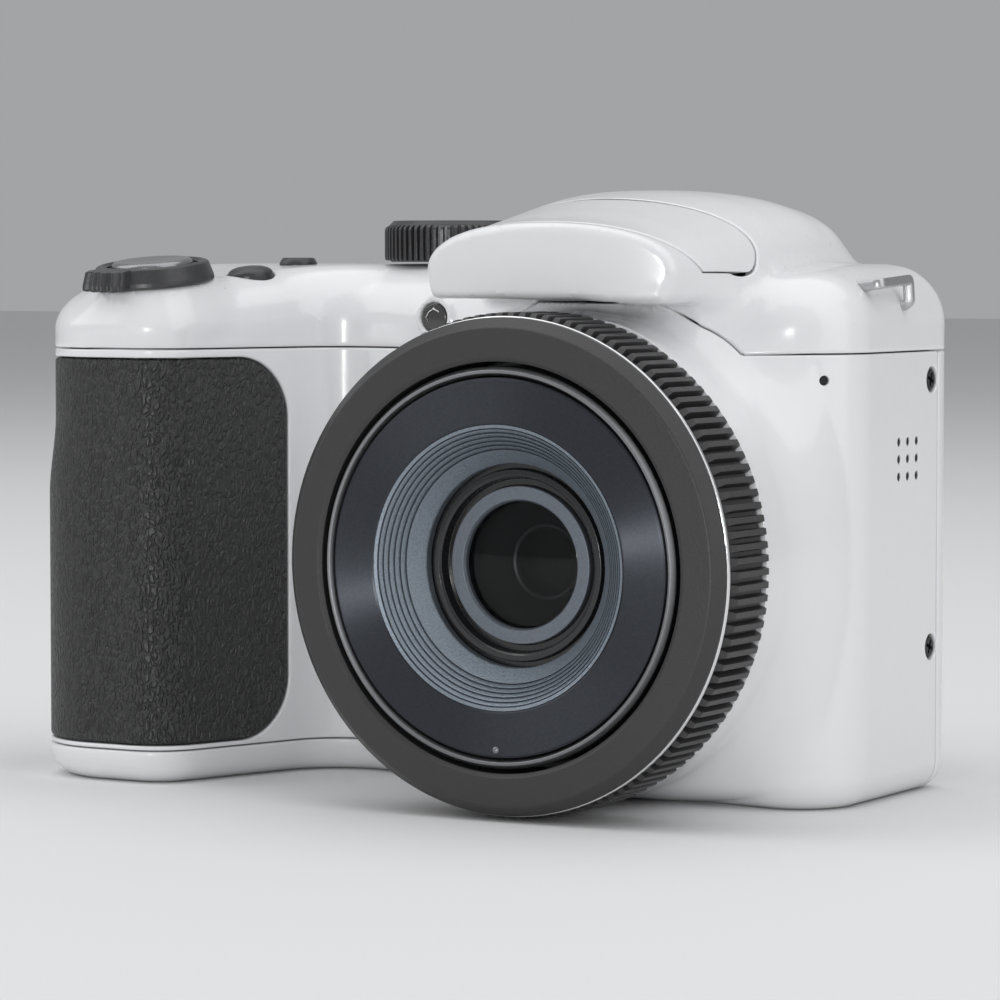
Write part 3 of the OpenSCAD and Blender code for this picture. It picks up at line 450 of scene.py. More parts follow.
def in_lid(x, y, z, reach=LID_REACH, foot=LID_FOOT):
    slanted = ((y - LID_CREST[0]) + (z - LID_CREST[1])) / math.sqrt(2)
    front = np.minimum(slanted, HINGE_Y - y)
    plate = np.minimum(front, z - LID_FOOT)
    return np.maximum(plate, np.minimum(reach - np.hypot(y - HINGE_Y, z - HINGE_UP), z - foot))


def from_hinge(points):
    arm = points[:, 1:] - np.array((HINGE_Y, HINGE_UP))
    return arm, np.hypot(arm[:, 0], arm[:, 1])


def outside_lid(x, y, z):
    return -in_lid(x, y, z, 5.3, 60)


def in_collar(x, y, z):
    round_zone = np.minimum(35 - np.hypot(x, z - LENS_UP), -1 - y)
    return np.minimum(round_zone, VISOR_UNDER - 0.6 - z)


def over_seam(x, y, z):
    return np.minimum(z - SEAM_TOP, -in_collar(x, y, z))


def in_rubber(x, y, z):
    r = RUBBER_ROUND
    a = RUBBER_LONG - ((x - PLAN[3, 0]) * 0.311 + (y - PLAN[3, 1]) * 0.950)
    b = np.minimum(z - RUBBER_LOW, RUBBER_HIGH - z)
    corner = r - np.hypot(np.maximum(r - a, 0), np.maximum(r - b, 0))
    soft = np.where((a < r) & (b < r), corner, np.minimum(a, b))
    soft = np.where(x < -40, soft, -10.0)
    return np.where(x < -72, np.minimum(soft, -y), soft)


def below_seam(x, y, z):
    return np.minimum(SEAM_FOOT - z, -22 - x)


def behind_seam(x, y, z):
    return np.minimum(y - SEAM_REAR, SEAM_TOP - z)


def without(zone):
    return lambda x, y, z: -zone(x, y, z)


def add_node(tree, kind, values=None, wires=None, **settings):
    node = tree.nodes.new(kind)
    for key, value in settings.items():
        setattr(node, key, value)
    set_inputs(node, values or {})
    for key, source in (wires or {}).items():
        tree.links.new(source, node.inputs[key])
    return node


def finish(name, colour, rough, metal=0.0, grain=900.0, mottle=0.05, relief=0.0, coat=0.0):
    paint = bpy.data.materials.new(name)
    paint.use_nodes = True
    tree, shader = paint.node_tree, shader_of(paint)
    set_inputs(shader, {"Metallic": metal, "Coat Weight": coat, "Coat Roughness": 0.06})
    place = add_node(tree, "ShaderNodeTexCoord")
    speck = add_node(
        tree, "ShaderNodeTexNoise", {"Scale": grain, "Detail": 3}, {"Vector": place.outputs["Object"]})
    dark = [c * (1 - mottle) for c in colour] + [1]
    light = [min(c * (1 + mottle), 1) for c in colour] + [1]
    tint = add_node(
        tree, "ShaderNodeMix", {6: dark, 7: light}, {"Factor": speck.outputs["Fac"]}, data_type="RGBA")
    tree.links.new(tint.outputs[2], shader.inputs["Base Color"])
    sheen = add_node(
        tree, "ShaderNodeMapRange", {"To Min": rough * 0.8, "To Max": rough * 1.2},
        {"Value": speck.outputs["Fac"]})
    tree.links.new(sheen.outputs["Result"], shader.inputs["Roughness"])
    if relief:
        bump = add_node(
            tree, "ShaderNodeBump", {"Strength": relief, "Distance": 0.0002},
            {"Height": speck.outputs["Fac"]})
        tree.links.new(bump.outputs["Normal"], shader.inputs["Normal"])
    return paint


def tilt_at(y):
    return LEAN if y < SLOPE_START else 0


def on_top(x, y, points):
    tilt = tilt_at(y)
    turn = np.array([
        (1, 0, 0), (0, math.cos(tilt), -math.sin(tilt)), (0, math.sin(tilt), math.cos(tilt))])
    return points @ turn.T + np.array((x, y, top_level(y)))


def top_hole(x, y, r):
    tilt, level = tilt_at(y), top_level(y)

    def outside(px, py, pz):
        return np.hypot(px - x, (py - y + (pz - level) * math.tan(tilt)) * math.cos(tilt)) - r
    return outside


def bore(one, two, at, r, near):
    """A round hole, seen across the axes one and two, in the wall that near picks out."""
    def outside(*p):
        return np.where(near(*p), np.hypot(p[one] - at[0], p[two] - at[1]) - r, FAR)
    return outside


def on_rear_wall(x, y, z):
    return y > 17


def speaker_grid(px, py, pz):
    rows = (pz - SPEAKER_UP) / SPEAKER_ROW
    bays = (py - SPEAKER_Y) / SPEAKER_BAY
    row = np.clip(np.round(rows), -1, 1)
    bay = np.clip(np.round(bays), -1, 1)
    away = np.hypot((rows - row) * SPEAKER_ROW, (bays - bay) * SPEAKER_BAY) - SPEAKER_R
    return np.where(px > 33, away, FAR)


def sound_hole(px, py, pz):
    across = (px - SOUND_AT[0]) * 0.643 + (py - SOUND_AT[1]) * 0.766
    near = (px > 28) & (py < -8)
    return np.where(near, np.hypot(across, pz - SOUND_AT[2]) - SOUND_R, FAR)


def lens_opening(px, py, pz):
    return np.where(px > -42, py - (LENS_FRONT + 13.4), FAR)


def outside_door(px, py, pz):
    away = np.full(px.shape, -99.0)
    for (ax, ay), (bx, by) in zip(DOOR, DOOR[1:] + DOOR[:1]):
        length = math.hypot(bx - ax, by - ay)
        away = np.maximum(away, ((px - ax) * (by - ay) - (py - ay) * (bx - ax)) / length)
    return np.where(pz < 4, away - 0.1, FAR)


def window_hole(px, py, pz):
    r = WINDOW_HOLE_ROUND
    dx = np.abs(px - WINDOW_MID[0]) - WINDOW_HALF[0] + r
    dz = np.abs(pz - WINDOW_MID[1]) - WINDOW_HALF[1] + r
    away = np.hypot(np.maximum(dx, 0), np.maximum(dz, 0)) + np.minimum(np.maximum(dx, dz), 0) - r
    return np.where(on_rear_wall(px, py, pz), away, FAR)


lamp_hole = bore(0, 2, (LAMP_AT[0], LAMP_AT[2]), 2.05, lambda x, y, z: y < -4)
tripod_hole = bore(0, 1, (0, 0), 5.1, lambda x, y, z: z < 3)
screw_holes = [
    (bore(1, 2, (SCREW_Y, up), SCREW_HOLE_R, wall), 0.25)
    for wall in (lambda x, y, z: x > 30, lambda x, y, z: x < -76) for up in SCREW_UPS]
white_gloss = finish(
    "white_gloss", (0.79, 0.795, 0.81), 0.22, grain=420, mottle=0.012, relief=0.012, coat=0.5)
MESH_STEP = 0.6
form = mesh_form(housing, (-85, -37, -1.4), (36.4, 20.8, 82), MESH_STEP)

fine_points, fine_tris = form
for _ in range(2):
    middle = fine_points[fine_tris].mean(1).T
    close = (np.abs(speaker_grid(*middle)) < 0.6) | (np.abs(sound_hole(*middle)) < 0.6)
    fine_points, fine_tris = finer(fine_points, fine_tris, close)
fine_points = settle(housing, fine_points, 2)
piece_object("front_cover_shell", *panel(fine_points, fine_tris, [
    (without(over_seam), EDGE), (without(behind_seam), EDGE), (without(below_seam), EDGE),
    (without(in_rubber), EDGE), (lens_opening, 0.1),
    (speaker_grid, 0.12), (sound_hole, 0.12), (tripod_hole, 0.2), *screw_holes,
]), white_gloss, "housing", ["front_cover"])

top_points, top_tris = panel(*form, [
    (over_seam, EDGE), (outside_lid, EDGE), (lamp_hole, 0.5), (top_hole(*SHUTTER_AT, 6.3), 0.15),
    (top_hole(*POWER_AT, POWER_R + KEY_PLAY), 0.2), (top_hole(*TOP_KEY_AT, TOP_KEY_R + KEY_PLAY), 0.2),
    (top_hole(*DIAL_AT, 3.5), 0.1),
])
# The edge behind the lid keeps clear of the arc that the lid swings through.
clear_r = 5.4
arm, reach = from_hinge(top_points)
in_the_way = (np.abs(top_points[:, 0]) < 24) & (arm[:, 0] > -0.5) & (reach < clear_r)
push = clear_r / np.maximum(reach[in_the_way], 0.5) - 1
top_points[in_the_way, 1:] += arm[in_the_way] * push[:, None]
piece_object("top_cover_shell", top_points, top_tris, white_gloss, "housing", ["top_cover"])

piece_object("rear_cover_shell", *panel(*form, [
    (behind_seam, EDGE), (without(below_seam), EDGE), (window_hole, 0.2),
    *[(bore(0, 2, (x, z), r + KEY_PLAY, on_rear_wall), 0.2) for _, x, z, r in REAR_KEYS],
    (bore(0, 2, PAD_AT, PAD_R + KEY_PLAY, on_rear_wall), 0.25),
]), white_gloss, "housing", ["rear_cover"])

foot_panel = panel(*form, [(below_seam, EDGE), (outside_door, 0.2)])
piece_object("bottom_cover_shell", *foot_panel, white_gloss, "housing", ["bottom_cover"])

# Grip skin: a pebbled elastomer sheet let into the grip, glued down. Its pebbles are drawn out
# upward, as moulded rubber skin shows them, and its edge is rounded off.
rubber_paint = finish("grip_rubber", (0.029, 0.029, 0.0295), 0.42, grain=2600, mottle=0.25)
rubber = rubber_paint.node_tree
stretch = add_node(
    rubber, "ShaderNodeMapping", {"Rotation": (0, math.radians(-14), 0), "Scale": (1.0, 0.7, 0.45)},
    {"Vector": rubber.nodes["Texture Coordinate"].outputs["Object"]})
wander = add_node(
    rubber, "ShaderNodeTexNoise", {"Scale": 1100, "Detail": 2}, {"Vector": stretch.outputs["Vector"]})
drift = add_node(
    rubber, "ShaderNodeMixRGB", {"Fac": 0.0005},
    {"Color1": stretch.outputs["Vector"], "Color2": wander.outputs["Color"]}, blend_type="LINEAR_LIGHT")
pebble = add_node(
    rubber, "ShaderNodeTexVoronoi", {"Scale": 1500}, {"Vector": drift.outputs["Color"]},
    feature="DISTANCE_TO_EDGE")
crown = add_node(
    rubber, "ShaderNodeMapRange", {"From Max": 0.28}, {"Value": pebble.outputs["Distance"]},
    interpolation_type="SMOOTHSTEP")
pebble_bump = add_node(
    rubber, "ShaderNodeBump", {"Strength": 1.0, "Distance": 0.0003}, {"Height": crown.outputs["Result"]})
skin_bump = add_node(
    rubber, "ShaderNodeBump", {"Strength": 0.25, "Distance": 0.0001},
    {"Height": rubber.nodes["Noise Texture"].outputs["Fac"], "Normal": pebble_bump.outputs["Normal"]})
rubber.links.new(skin_bump.outputs["Normal"], shader_of(rubber_paint).inputs["Normal"])
rubber_panel = panel(*form, [(in_rubber, 0.5)], 1.2)
piece_object("grip_rubber_skin", *rubber_panel, rubber_paint, "housing", ["grip_rubber"])

# Flash lid: the white front part of the hump, hinged across the hump, with the lamp under it.
# What lies behind the hinge stays on the arc that clears the top cover.
lid_points, lid_tris = panel(*form, [(in_lid, EDGE), (over_seam, EDGE)], 1.5)
lid_r = 5.12
arm, reach = from_hinge(lid_points)
too_far = (arm[:, 0] > 0) & (reach > lid_r)
lid_points[too_far, 1:] += arm[too_far] * (lid_r / reach[too_far] - 1)[:, None]
piece_object("flash_lid_shell", lid_points, lid_tris, white_gloss, "flash_head", ["flash_lid"])


# Lens front ring: satin black plastic, turned with a shallow cone on its face, pressed over the
# fixed tube of the lens. A bright plated ring closes it behind.
def filleted(corners, steps=4, hold=0.05):
    """A profile with rounded corners. Rows: radius, depth or height, radius of the corner."""
    path = []
    count = len(corners)
    for i, (r, t, fillet) in enumerate(corners):
        here = np.array((r, t), float)
        before = np.array(corners[i - 1][:2], float) - here
        after = np.array(corners[(i + 1) % count][:2], float) - here
        one, two = np.linalg.norm(before), np.linalg.norm(after)
        before, after = before / max(one, 1e-9), after / max(two, 1e-9)
        bend = math.acos(max(-1.0, min(1.0, float(before @ after))))
        reach = fillet / math.tan(bend / 2) if fillet and bend < 3.12 else 0
        reach = min(reach, 0.45 * one, 0.45 * two)
        if reach < 0.004:
            path.append(here)
            continue
        centre = here + unit(before + after) * math.hypot(reach, reach * math.tan(bend / 2))
        start, end = here + before * reach, here + after * reach
        path.append(start + before * min(hold, 0.04 * one))
        for k in range(steps + 1):
            ray = (start - centre) * (1 - k / steps) + (end - centre) * k / steps
            path.append(centre + unit(ray) * np.linalg.norm(start - centre))
        path.append(end + after * min(hold, 0.04 * two))
    return path


def turned(path, turns=144, swell=None):
    path = np.array(path, float)
    closed = path[0, 0] > 1e-6
    angles = np.arange(turns) * 2 * math.pi / turns
    lengths = np.concatenate([[0], np.cumsum(np.linalg.norm(np.diff(path, axis=0), axis=1))])
    points, rows = [], []
    for r, t in path:
        if r < 1e-6:
            rows.append([len(points)] * turns)
            points.append((0, 0, t))
            continue
        rows.append(list(range(len(points), len(points) + turns)))
        radii = r + (swell(angles, r, t) if swell else 0)
        points += list(zip(radii * np.cos(angles), radii * np.sin(angles), np.full(turns, t)))
    tris, uvs = [], []
    for i in range(len(path) if closed else len(path) - 1):
        one, two = rows[i], rows[(i + 1) % len(path)]
        low, high = lengths[i], lengths[i + 1] if i + 1 < len(path) else lengths[i] + 0.1
        for k in range(turns):
            n = (k + 1) % turns
            u, v = k / turns, (k + 1) / turns
            if one[k] != one[n]:
                tris.append((one[k], one[n], two[n]))
                uvs += [(u, low), (v, low), (v, high)]
            if two[k] != two[n]:
                tris.append((one[k], two[n], two[k]))
                uvs += [(u, low), (v, high), (u, high)]
    return np.array(points), np.array(tris), np.array(uvs)


def on_lens(points):
    return np.stack([points[:, 0], LENS_FRONT + points[:, 2], LENS_UP + points[:, 1]], 1)


def turned_piece(name, path, paint, body, nodes, slot=None, place=on_lens, turns=144, swell=None):
    points, tris, uvs = turned(path, turns, swell)
    piece_object(name, place(points), tris, paint, body, nodes, slot, uvs)


ring_plastic = finish("ring_plastic", (0.034, 0.033, 0.034), 0.42, grain=3200, mottle=0.18, relief=0.25)
turned_piece("front_ring_turned", filleted([
    (26.2, 0.6, 0.12), (26.8, 0.22, 0.15), (30.5, 0.5, 0.5), (31.8, 2.0, 0.3), (31.8, 2.35, 0.06),
    (30.4, 2.35, 0.03), (30.4, 14, 0.2), (27.2, 14, 0.2), (27.2, 6, 0.2), (26.2, 5, 0.2),
]), ring_plastic, "housing", ["front_ring"])

trim_chrome = finish("trim_chrome", (0.8, 0.8, 0.81), 0.12, metal=1, grain=700, mottle=0.03)
turned_piece("trim_ring_turned", filleted([
    (30.45, 2.42, 0.03), (31.95, 2.42, 0.2), (31.95, 3.1, 0.2), (30.45, 3.1, 0.03),
]), trim_chrome, "housing", ["trim_ring"])

# Ribbed ring: a hard plastic band with 120 moulded ribs for the fingers, each with a flat top
# and a sloped front, snapped over the same tube.
RIB_RING_R, RIB_ROOT_R, RIB_COUNT = 32.4, 31.3, 120


def new_tree(name, inputs):
    tree = bpy.data.node_groups.new(name, "GeometryNodeTree")
    keys = {
        label: tree.interface.new_socket(label, in_out="INPUT", socket_type="NodeSocket" + kind).identifier
        for label, kind in inputs}
    tree.interface.new_socket("Geometry", in_out="OUTPUT", socket_type="NodeSocketGeometry")
    return tree, add_node(tree, "NodeGroupInput").outputs, keys


def shape_on_points(tree, given, points, turn):
    source = add_node(tree, "GeometryNodeObjectInfo", wires={"Object": given["Shape"]})
    copies = add_node(tree, "GeometryNodeInstanceOnPoints", wires={
        "Points": points, "Instance": source.outputs["Geometry"], "Rotation": turn})
    real = add_node(tree, "GeometryNodeRealizeInstances", wires={0: copies.outputs[0]})
    painted = add_node(tree, "GeometryNodeSetMaterial", wires={
        "Geometry": real.outputs[0], "Material": given["Finish"]})
    add_node(tree, "NodeGroupOutput", wires={0: painted.outputs[0]})


def copies(name, tree, keys, shape, marks, paint, body, nodes, slot=None, place=None, **sizes):
    """Copies that a tree makes of the shape, as one plain mesh, brought to their place together."""
    pattern = bpy.data.objects.new(name + "_shape", shape)
    piece = bpy.data.objects.new(name, marks)
    scene.collection.objects.link(pattern)
    scene.collection.objects.link(piece)
    repeat = piece.modifiers.new("copies", "NODES")
    repeat.node_group = tree
    for label, value in {"Shape": pattern, "Finish": paint, **sizes}.items():
        repeat[keys[label]] = value
    plain = bpy.data.meshes.new_from_object(piece.evaluated_get(bpy.context.evaluated_depsgraph_get()))
    piece.modifiers.clear()
    if place:
        points = np.empty(3 * len(plain.vertices), np.float32)
        plain.vertices.foreach_get("co", points)
        placed = place(points.reshape(-1, 3).astype(float) * 1000) * 0.001
        plain.vertices.foreach_set("co", placed.astype(np.float32).ravel())
    face_out(plain)
    plain.update()
    piece.data = plain
    bpy.data.objects.remove(pattern)
    hand_over(piece, body, nodes)


def face_out(mesh):
    work = bmesh.new()
    work.from_mesh(mesh)
    bmesh.ops.recalc_face_normals(work, faces=work.faces)
    work.to_mesh(mesh)
    work.free()


def bar_ring(name, outline, count, place, paint, body, nodes, slot=None):
    """A ring of bars. Outline rows: radius, height and half width of the bar there."""
    n = len(outline)
    points = [(r * 0.001, side * h * 0.001, t * 0.001) for side in (-1, 1) for r, t, h in outline]
    faces = [tuple(range(n)), tuple(range(2 * n - 1, n - 1, -1))]
    faces += [((i + 1) % n, i, n + i, n + (i + 1) % n) for i in range(n)]
    bar = bpy.data.meshes.new(name + "_bar")
    bar.from_pydata(points, [], faces)
    face_out(bar)
    start = bpy.data.meshes.new(name)
    copies(name, ring_of, ring_keys, bar, start, paint, body, nodes, slot, place, Count=count)


ring_of, given, ring_keys = new_tree("ring_of_copies", (
    ("Geometry", "Geometry"), ("Shape", "Object"), ("Count", "Int"), ("Finish", "Material")))
spots = add_node(ring_of, "GeometryNodePoints", wires={"Count": given["Count"]})
index = add_node(ring_of, "GeometryNodeInputIndex")
share = add_node(
    ring_of, "ShaderNodeMath", wires={0: index.outputs[0], 1: given["Count"]}, operation="DIVIDE")
angle = add_node(
    ring_of, "ShaderNodeMath", {1: 2 * math.pi}, {0: share.outputs[0]}, operation="MULTIPLY")
spin = add_node(ring_of, "ShaderNodeCombineXYZ", wires={"Z": angle.outputs[0]})
shape_on_points(ring_of, given, spots.outputs[0], spin.outputs[0])

turned_piece("rib_ring_band", filleted([
    (30.45, 3.42, 0.05), (31.0, 3.42, 0.15), (RIB_ROOT_R, 4.0, 0.2), (RIB_ROOT_R, 13.08, 0.15),
    (30.45, 13.08, 0.05),
]), ring_plastic, "housing", ["rib_ring"])
bar_ring("lens_ribs", [
    (31.0, 3.5, 0.6), (31.35, 3.46, 0.56), (31.5, 3.5, 0.54), (32.3, 4.25, 0.42), (RIB_RING_R, 4.45, 0.38),
    (RIB_RING_R, 12.8, 0.38), (32.25, 13.0, 0.42), (31.9, 13.08, 0.48), (31.0, 13.08, 0.6),
], RIB_COUNT, on_lens, ring_plastic, "housing", ["rib_ring"])

# Zoom barrels: two thin drawn aluminium tubes, grey anodised, with a rounded front edge. They
# slide out of each other, guided in the fixed tube.
barrel_metal = finish("barrel_metal", (0.24, 0.245, 0.255), 0.36, metal=1, grain=2200, mottle=0.12)
turned_piece("outer_barrel_tube", filleted([
    (24.4, 0.75, 0.05), (24.75, 0.1, 0.15), (25.1, 0.03, 0.15), (25.6, 0.75, 0.25), (25.6, 33, 0.2),
    (24.4, 33, 0.1),
]), barrel_metal, "first_barrel", ["outer_barrel"])
turned_piece("inner_barrel_tube", filleted([
    (23, 1.55, 0.05), (24.2, 1.55, 0.05), (24.2, 29, 0.15), (23, 29, 0.1),
]), barrel_metal, "second_barrel", ["inner_barrel"])

# Lens face: a flat anodised ring turned on a lathe; its fine circles draw light into two bands.
# A small round nub is set into it below the glass.
face_metal = finish("face_metal", (0.066, 0.071, 0.082), 0.36, metal=1, grain=5200, mottle=0.3)
set_inputs(shader_of(face_metal), {"Anisotropic": 1.0, "Anisotropic Rotation": 0.25})
face_along = add_node(
    face_metal.node_tree, "ShaderNodeTangent", direction_type="UV_MAP", uv_map="turning")
face_metal.node_tree.links.new(face_along.outputs["Tangent"], shader_of(face_metal).inputs["Tangent"])
turned_piece("lens_face_ring", filleted([
    (18.25, 0.42, 0.05), (18.5, 0.3, 0.1), (23.9, 0.3, 0.15), (24.2, 0.5, 0.1), (24.2, 1.5, 0.05),
    (18.25, 1.5, 0.05),
]), face_metal, "second_barrel", ["lens_face"], turns=288)

NUB_DOWN = 23.2
nub_points, nub_tris, _ = turned(
    [(0, 0.02), (0.25, 0.05), (0.42, 0.14), (0.5, 0.28), (0.5, 0.9), (0, 0.9)], 24)
nub_points[:, 1] -= NUB_DOWN
piece_object("face_nub", on_lens(nub_points), nub_tris, barrel_metal, "second_barrel", [])

# Grooved ring: a blasted and anodised aluminium cone around the glass, set into the lens face,
# with fine turned grooves against glare.
groove_metal = finish(
    "groove_metal", (0.23, 0.265, 0.305), 0.42, metal=0.75, grain=4200, mottle=0.45, relief=0.35)
GROOVE_R, GROOVE_END_R, GROOVE_FRONT, GROOVE_DEEP = 18.2, 13.1, 0.3, 4.9
GROOVE_COUNT, GROOVE_FIRST, GROOVE_STEP = 6, 0.5, 0.54


def cone_depth(r):
    share = (GROOVE_R - r) / (GROOVE_R - GROOVE_END_R)
    return GROOVE_FRONT + GROOVE_DEEP * share**1.25


groove_path = [(GROOVE_R, GROOVE_FRONT + 0.05)]
for groove in range(GROOVE_COUNT):
    for shift, deep in ((-0.09, 0), (-0.07, 0.06), (-0.06, 0.4), (0.06, 0.4), (0.07, 0.06), (0.09, 0)):
        r = GROOVE_R - GROOVE_FIRST - GROOVE_STEP * groove - shift
        groove_path.append((r, cone_depth(r) + deep))
for share in (0.68, 0.7, 0.76, 0.84, 0.92, 0.97, 1):
    r = GROOVE_R - (GROOVE_R - GROOVE_END_R) * share
    groove_path.append((r, cone_depth(r)))
groove_path += [
    (GROOVE_END_R, 5.35), (GROOVE_END_R, 6.35), (GROOVE_END_R + 0.1, 6.4), (17.9, 2.3), (GROOVE_R, 2.1)]
turned_piece("grooved_ring", groove_path, groove_metal, "second_barrel", ["groove_ring"], turns=192)

# Lens cell: the black anodised mount of the front glass, with a thin raised lip, and the ring
# that is screwed in to hold the glass.
lens_black = finish("lens_black", (0.012, 0.012, 0.013), 0.26, grain=2600, mottle=0.2, coat=0.3)
turned_piece("lens_cell_mount", filleted([
    (10.3, 7.3, 0.05), (11.1, 7.3, 0.1), (11.3, 5.9, 0.12), (11.6, 5.65, 0.12), (12.3, 5.7, 0.15),
    (12.45, 6.6, 0.05), (16.2, 6.6, 0.1), (16.2, 8, 0.1), (22.9, 8, 0.1), (22.9, 9.5, 0.1), (12, 9.5, 0.1),
    (12, 13, 0.1), (8.6, 13, 0.1), (8.6, 12.2, 0.05), (9.65, 12.2, 0.05), (9.65, 7.85, 0.05),
    (10.3, 7.85, 0.05),
]), lens_black, "second_barrel", ["lens_cell"])
retainer_metal = finish(
    "retainer_metal", (0.17, 0.19, 0.22), 0.4, metal=0.6, grain=3600, mottle=0.25, relief=0.15)
turned_piece("glass_retainer_ring", filleted([
    (8.2, 7.6, 0.05), (8.2, 6.9, 0.05), (8.45, 6.5, 0.1), (10.1, 6.5, 0.12), (10.2, 6.7, 0.05),
    (10.2, 7.75, 0.05), (8.8, 7.75, 0.05),
]), retainer_metal, "second_barrel", ["glass_retainer"], "groove_metal")

# Front glass: a dark, half clear dome with a polished face. Behind it the tube narrows in a black
# cone to a second, smaller element in a bright ring.
lens_glass = finish("lens_glass", (0.002, 0.003, 0.003), 0.02, grain=300, mottle=0.0)
set_inputs(shader_of(lens_glass), {"Alpha": 0.5, "IOR": 1.4})
tube_black = finish("tube_black", (0.004, 0.004, 0.004), 0.6, grain=2600, mottle=0.2)


def dome(radius, front, sag, thick, steps=14):
    path = [(radius * k / steps, front + sag * (k / steps)**2) for k in range(steps + 1)]
    path += [(radius, front + sag + 0.05), (radius, front + sag + thick), (0, front + sag + thick)]
    return path


turned_piece(
    "front_glass_dome", dome(9.55, 6.75, 1.15, 1.2), lens_glass, "second_barrel", ["front_glass"])
turned_piece("inner_cone", filleted([
    (9.4, 10.7, 0.05), (9.4, 12.1, 0.05), (5.0, 14.6, 0.1), (4.7, 14.4, 0.1), (4.6, 13.9, 0.1),
    (5.1, 13.7, 0.1),
]), tube_black, "second_barrel", [], "lens_black")
turned_piece("element_ring", filleted([
    (4.5, 13.5, 0.05), (4.95, 13.35, 0.1), (5.05, 13.7, 0.05), (4.7, 13.85, 0.05),
]), barrel_metal, "second_barrel", [])
inner_glass = finish("inner_glass", (0.004, 0.008, 0.006), 0.03, grain=300, mottle=0.3, coat=1.0)
set_inputs(shader_of(inner_glass), {"Coat Tint": (0.7, 1, 0.75, 1)})
turned_piece(
    "inner_element", dome(4.65, 13.6, 0.9, 0.4), inner_glass, "second_barrel", [], "lens_glass")

# Strap lugs: square bars of plated steel with broken edges, bent into a loop and let into the
# shoulders of the housing.
bright_steel = finish("bright_steel", (0.5, 0.5, 0.51), 0.34, metal=1, grain=2600, mottle=0.15)


def bent_path(corners, radius, steps=5):
    path = [np.array(corners[0], float)]
    for i in range(1, len(corners) - 1):
        here = np.array(corners[i], float)
        before = unit(np.array(corners[i - 1], float) - here)
        after = unit(np.array(corners[i + 1], float) - here)
        for k in range(steps + 1):
            s = k / steps
            path.append(here + radius * (before * (1 - s)**2 + after * s**2))
    path.append(np.array(corners[-1], float))
    return np.array(path)


def lofted(loops):
    """Walls between the loops, and a flat end on the first and the last one."""
    n = len(loops[0])
    tris = []
    for i in range(len(loops) - 1):
        for k in range(n):
            a, b = i * n + k, i * n + (k + 1) % n
            tris += [(a, b, b + n), (a, b + n, a + n)]
    last = (len(loops) - 1) * n
    for k in range(1, n - 1):
        tris += [(0, k + 1, k), (last, last + k, last + k + 1)]
    return np.array(loops).reshape(-1, 3), np.array(tris)


def swept(path, section, wide):
    loops = []
    up = np.array(wide, float)
    for spot, way in zip(path, unit(np.gradient(path, axis=0))):
        up = unit(up - way * (up @ way))
        side = np.cross(way, up)
        loops.append([spot + side * a + up * b for a, b in section])
    return lofted(loops)


BAR = [(0.65, -0.5), (0.65, 0.5), (0.6, 0.6), (0.5, 0.65), (-0.5, 0.65), (-0.6, 0.6)]
BAR += [(-a, -b) for a, b in BAR]
WALL_RIGHT, WALL_LEFT, LUG_BEND = 35, -82, 0.7
lug_path = bent_path([
    (31.4, -5.6, 67.9), (35.5, -6.3, 68.4), (35.5, 2.6, 68.9), (35.6, 2.8, 65.7), (33.2, 2.8, 65.2),
], LUG_BEND)
right_points, right_tris = swept(lug_path, BAR, (0, 0, 1))
left_points = right_points.copy()
left_points[:, 0] = WALL_LEFT - (right_points[:, 0] - WALL_RIGHT)
lug_points = np.concatenate([right_points, left_points])
lug_tris = np.concatenate([right_tris, right_tris[:, ::-1] + len(right_points)])
piece_object("strap_lug_strips", lug_points, lug_tris, bright_steel, "housing", ["strap_lugs"])

# Case screws: small blackened steel screws with a pressed cross, sunk in the two sides, that
# hold the front cover to the rear one.
screw_steel = finish("screw_steel", (0.012, 0.012, 0.013), 0.4, metal=0.3, grain=2400, mottle=0.3)
SLOT_HALF, SLOT_R, SLOT_DEEP, SCREW_SUNK = 0.2, 0.92, 0.5, 0.2
marks_of, given, marks_keys = new_tree("copies_at_marks", (
    ("Geometry", "Geometry"), ("Shape", "Object"), ("Finish", "Material")))
turn = add_node(marks_of, "GeometryNodeInputNamedAttribute", {"Name": "turn"}, data_type="FLOAT_VECTOR")
shape_on_points(marks_of, given, given["Geometry"], turn.outputs[0])


def copies_at(name, shape, spots, turns, paint, body, nodes, slot=None):
    marks = bpy.data.meshes.new(name)
    marks.from_pydata([tuple(spot * 0.001) for spot in spots], [], [])
    marks.attributes.new("turn", "FLOAT_VECTOR", "POINT").data.foreach_set("vector", np.ravel(turns))
    copies(name, marks_of, marks_keys, shape, marks, paint, body, nodes, slot)


head_path = [(0, 0.02)] + [(0.1 * k, 0.02) for k in range(1, 13)]
head_path += [(1.3, 0.05), (1.42, 0.12), (1.48, 0.24), (1.48, 1.0), (0.9, 1.0), (0.9, 2.1), (0, 2.1)]
head_points, head_tris, _ = turned(head_path, 48)
across, along = np.abs(head_points[:, :2]).T
in_slot = (np.minimum(across, along) < SLOT_HALF) & (np.hypot(across, along) < SLOT_R)
head_points[in_slot & (head_points[:, 2] < 0.1), 2] = SLOT_DEEP
head_points[:, :2] = head_points[:, :2] @ np.array([(0.94, 0.34), (-0.34, 0.94)])
screw_shape = piece_mesh("screw_shape", head_points, head_tris, screw_steel)
screw_spots = settle(housing, np.array([(x, SCREW_Y, z) for x in (35.0, -81.4) for z in SCREW_UPS]))
screw_sides = np.sign(screw_spots[:, 0])
screw_spots[:, 0] -= screw_sides * SCREW_SUNK
screw_turns = [(0, -side * math.pi / 2, 0) for side in screw_sides]
copies_at(
    "case_screw_set", screw_shape, screw_spots, screw_turns, screw_steel, "housing", ["case_screws"])

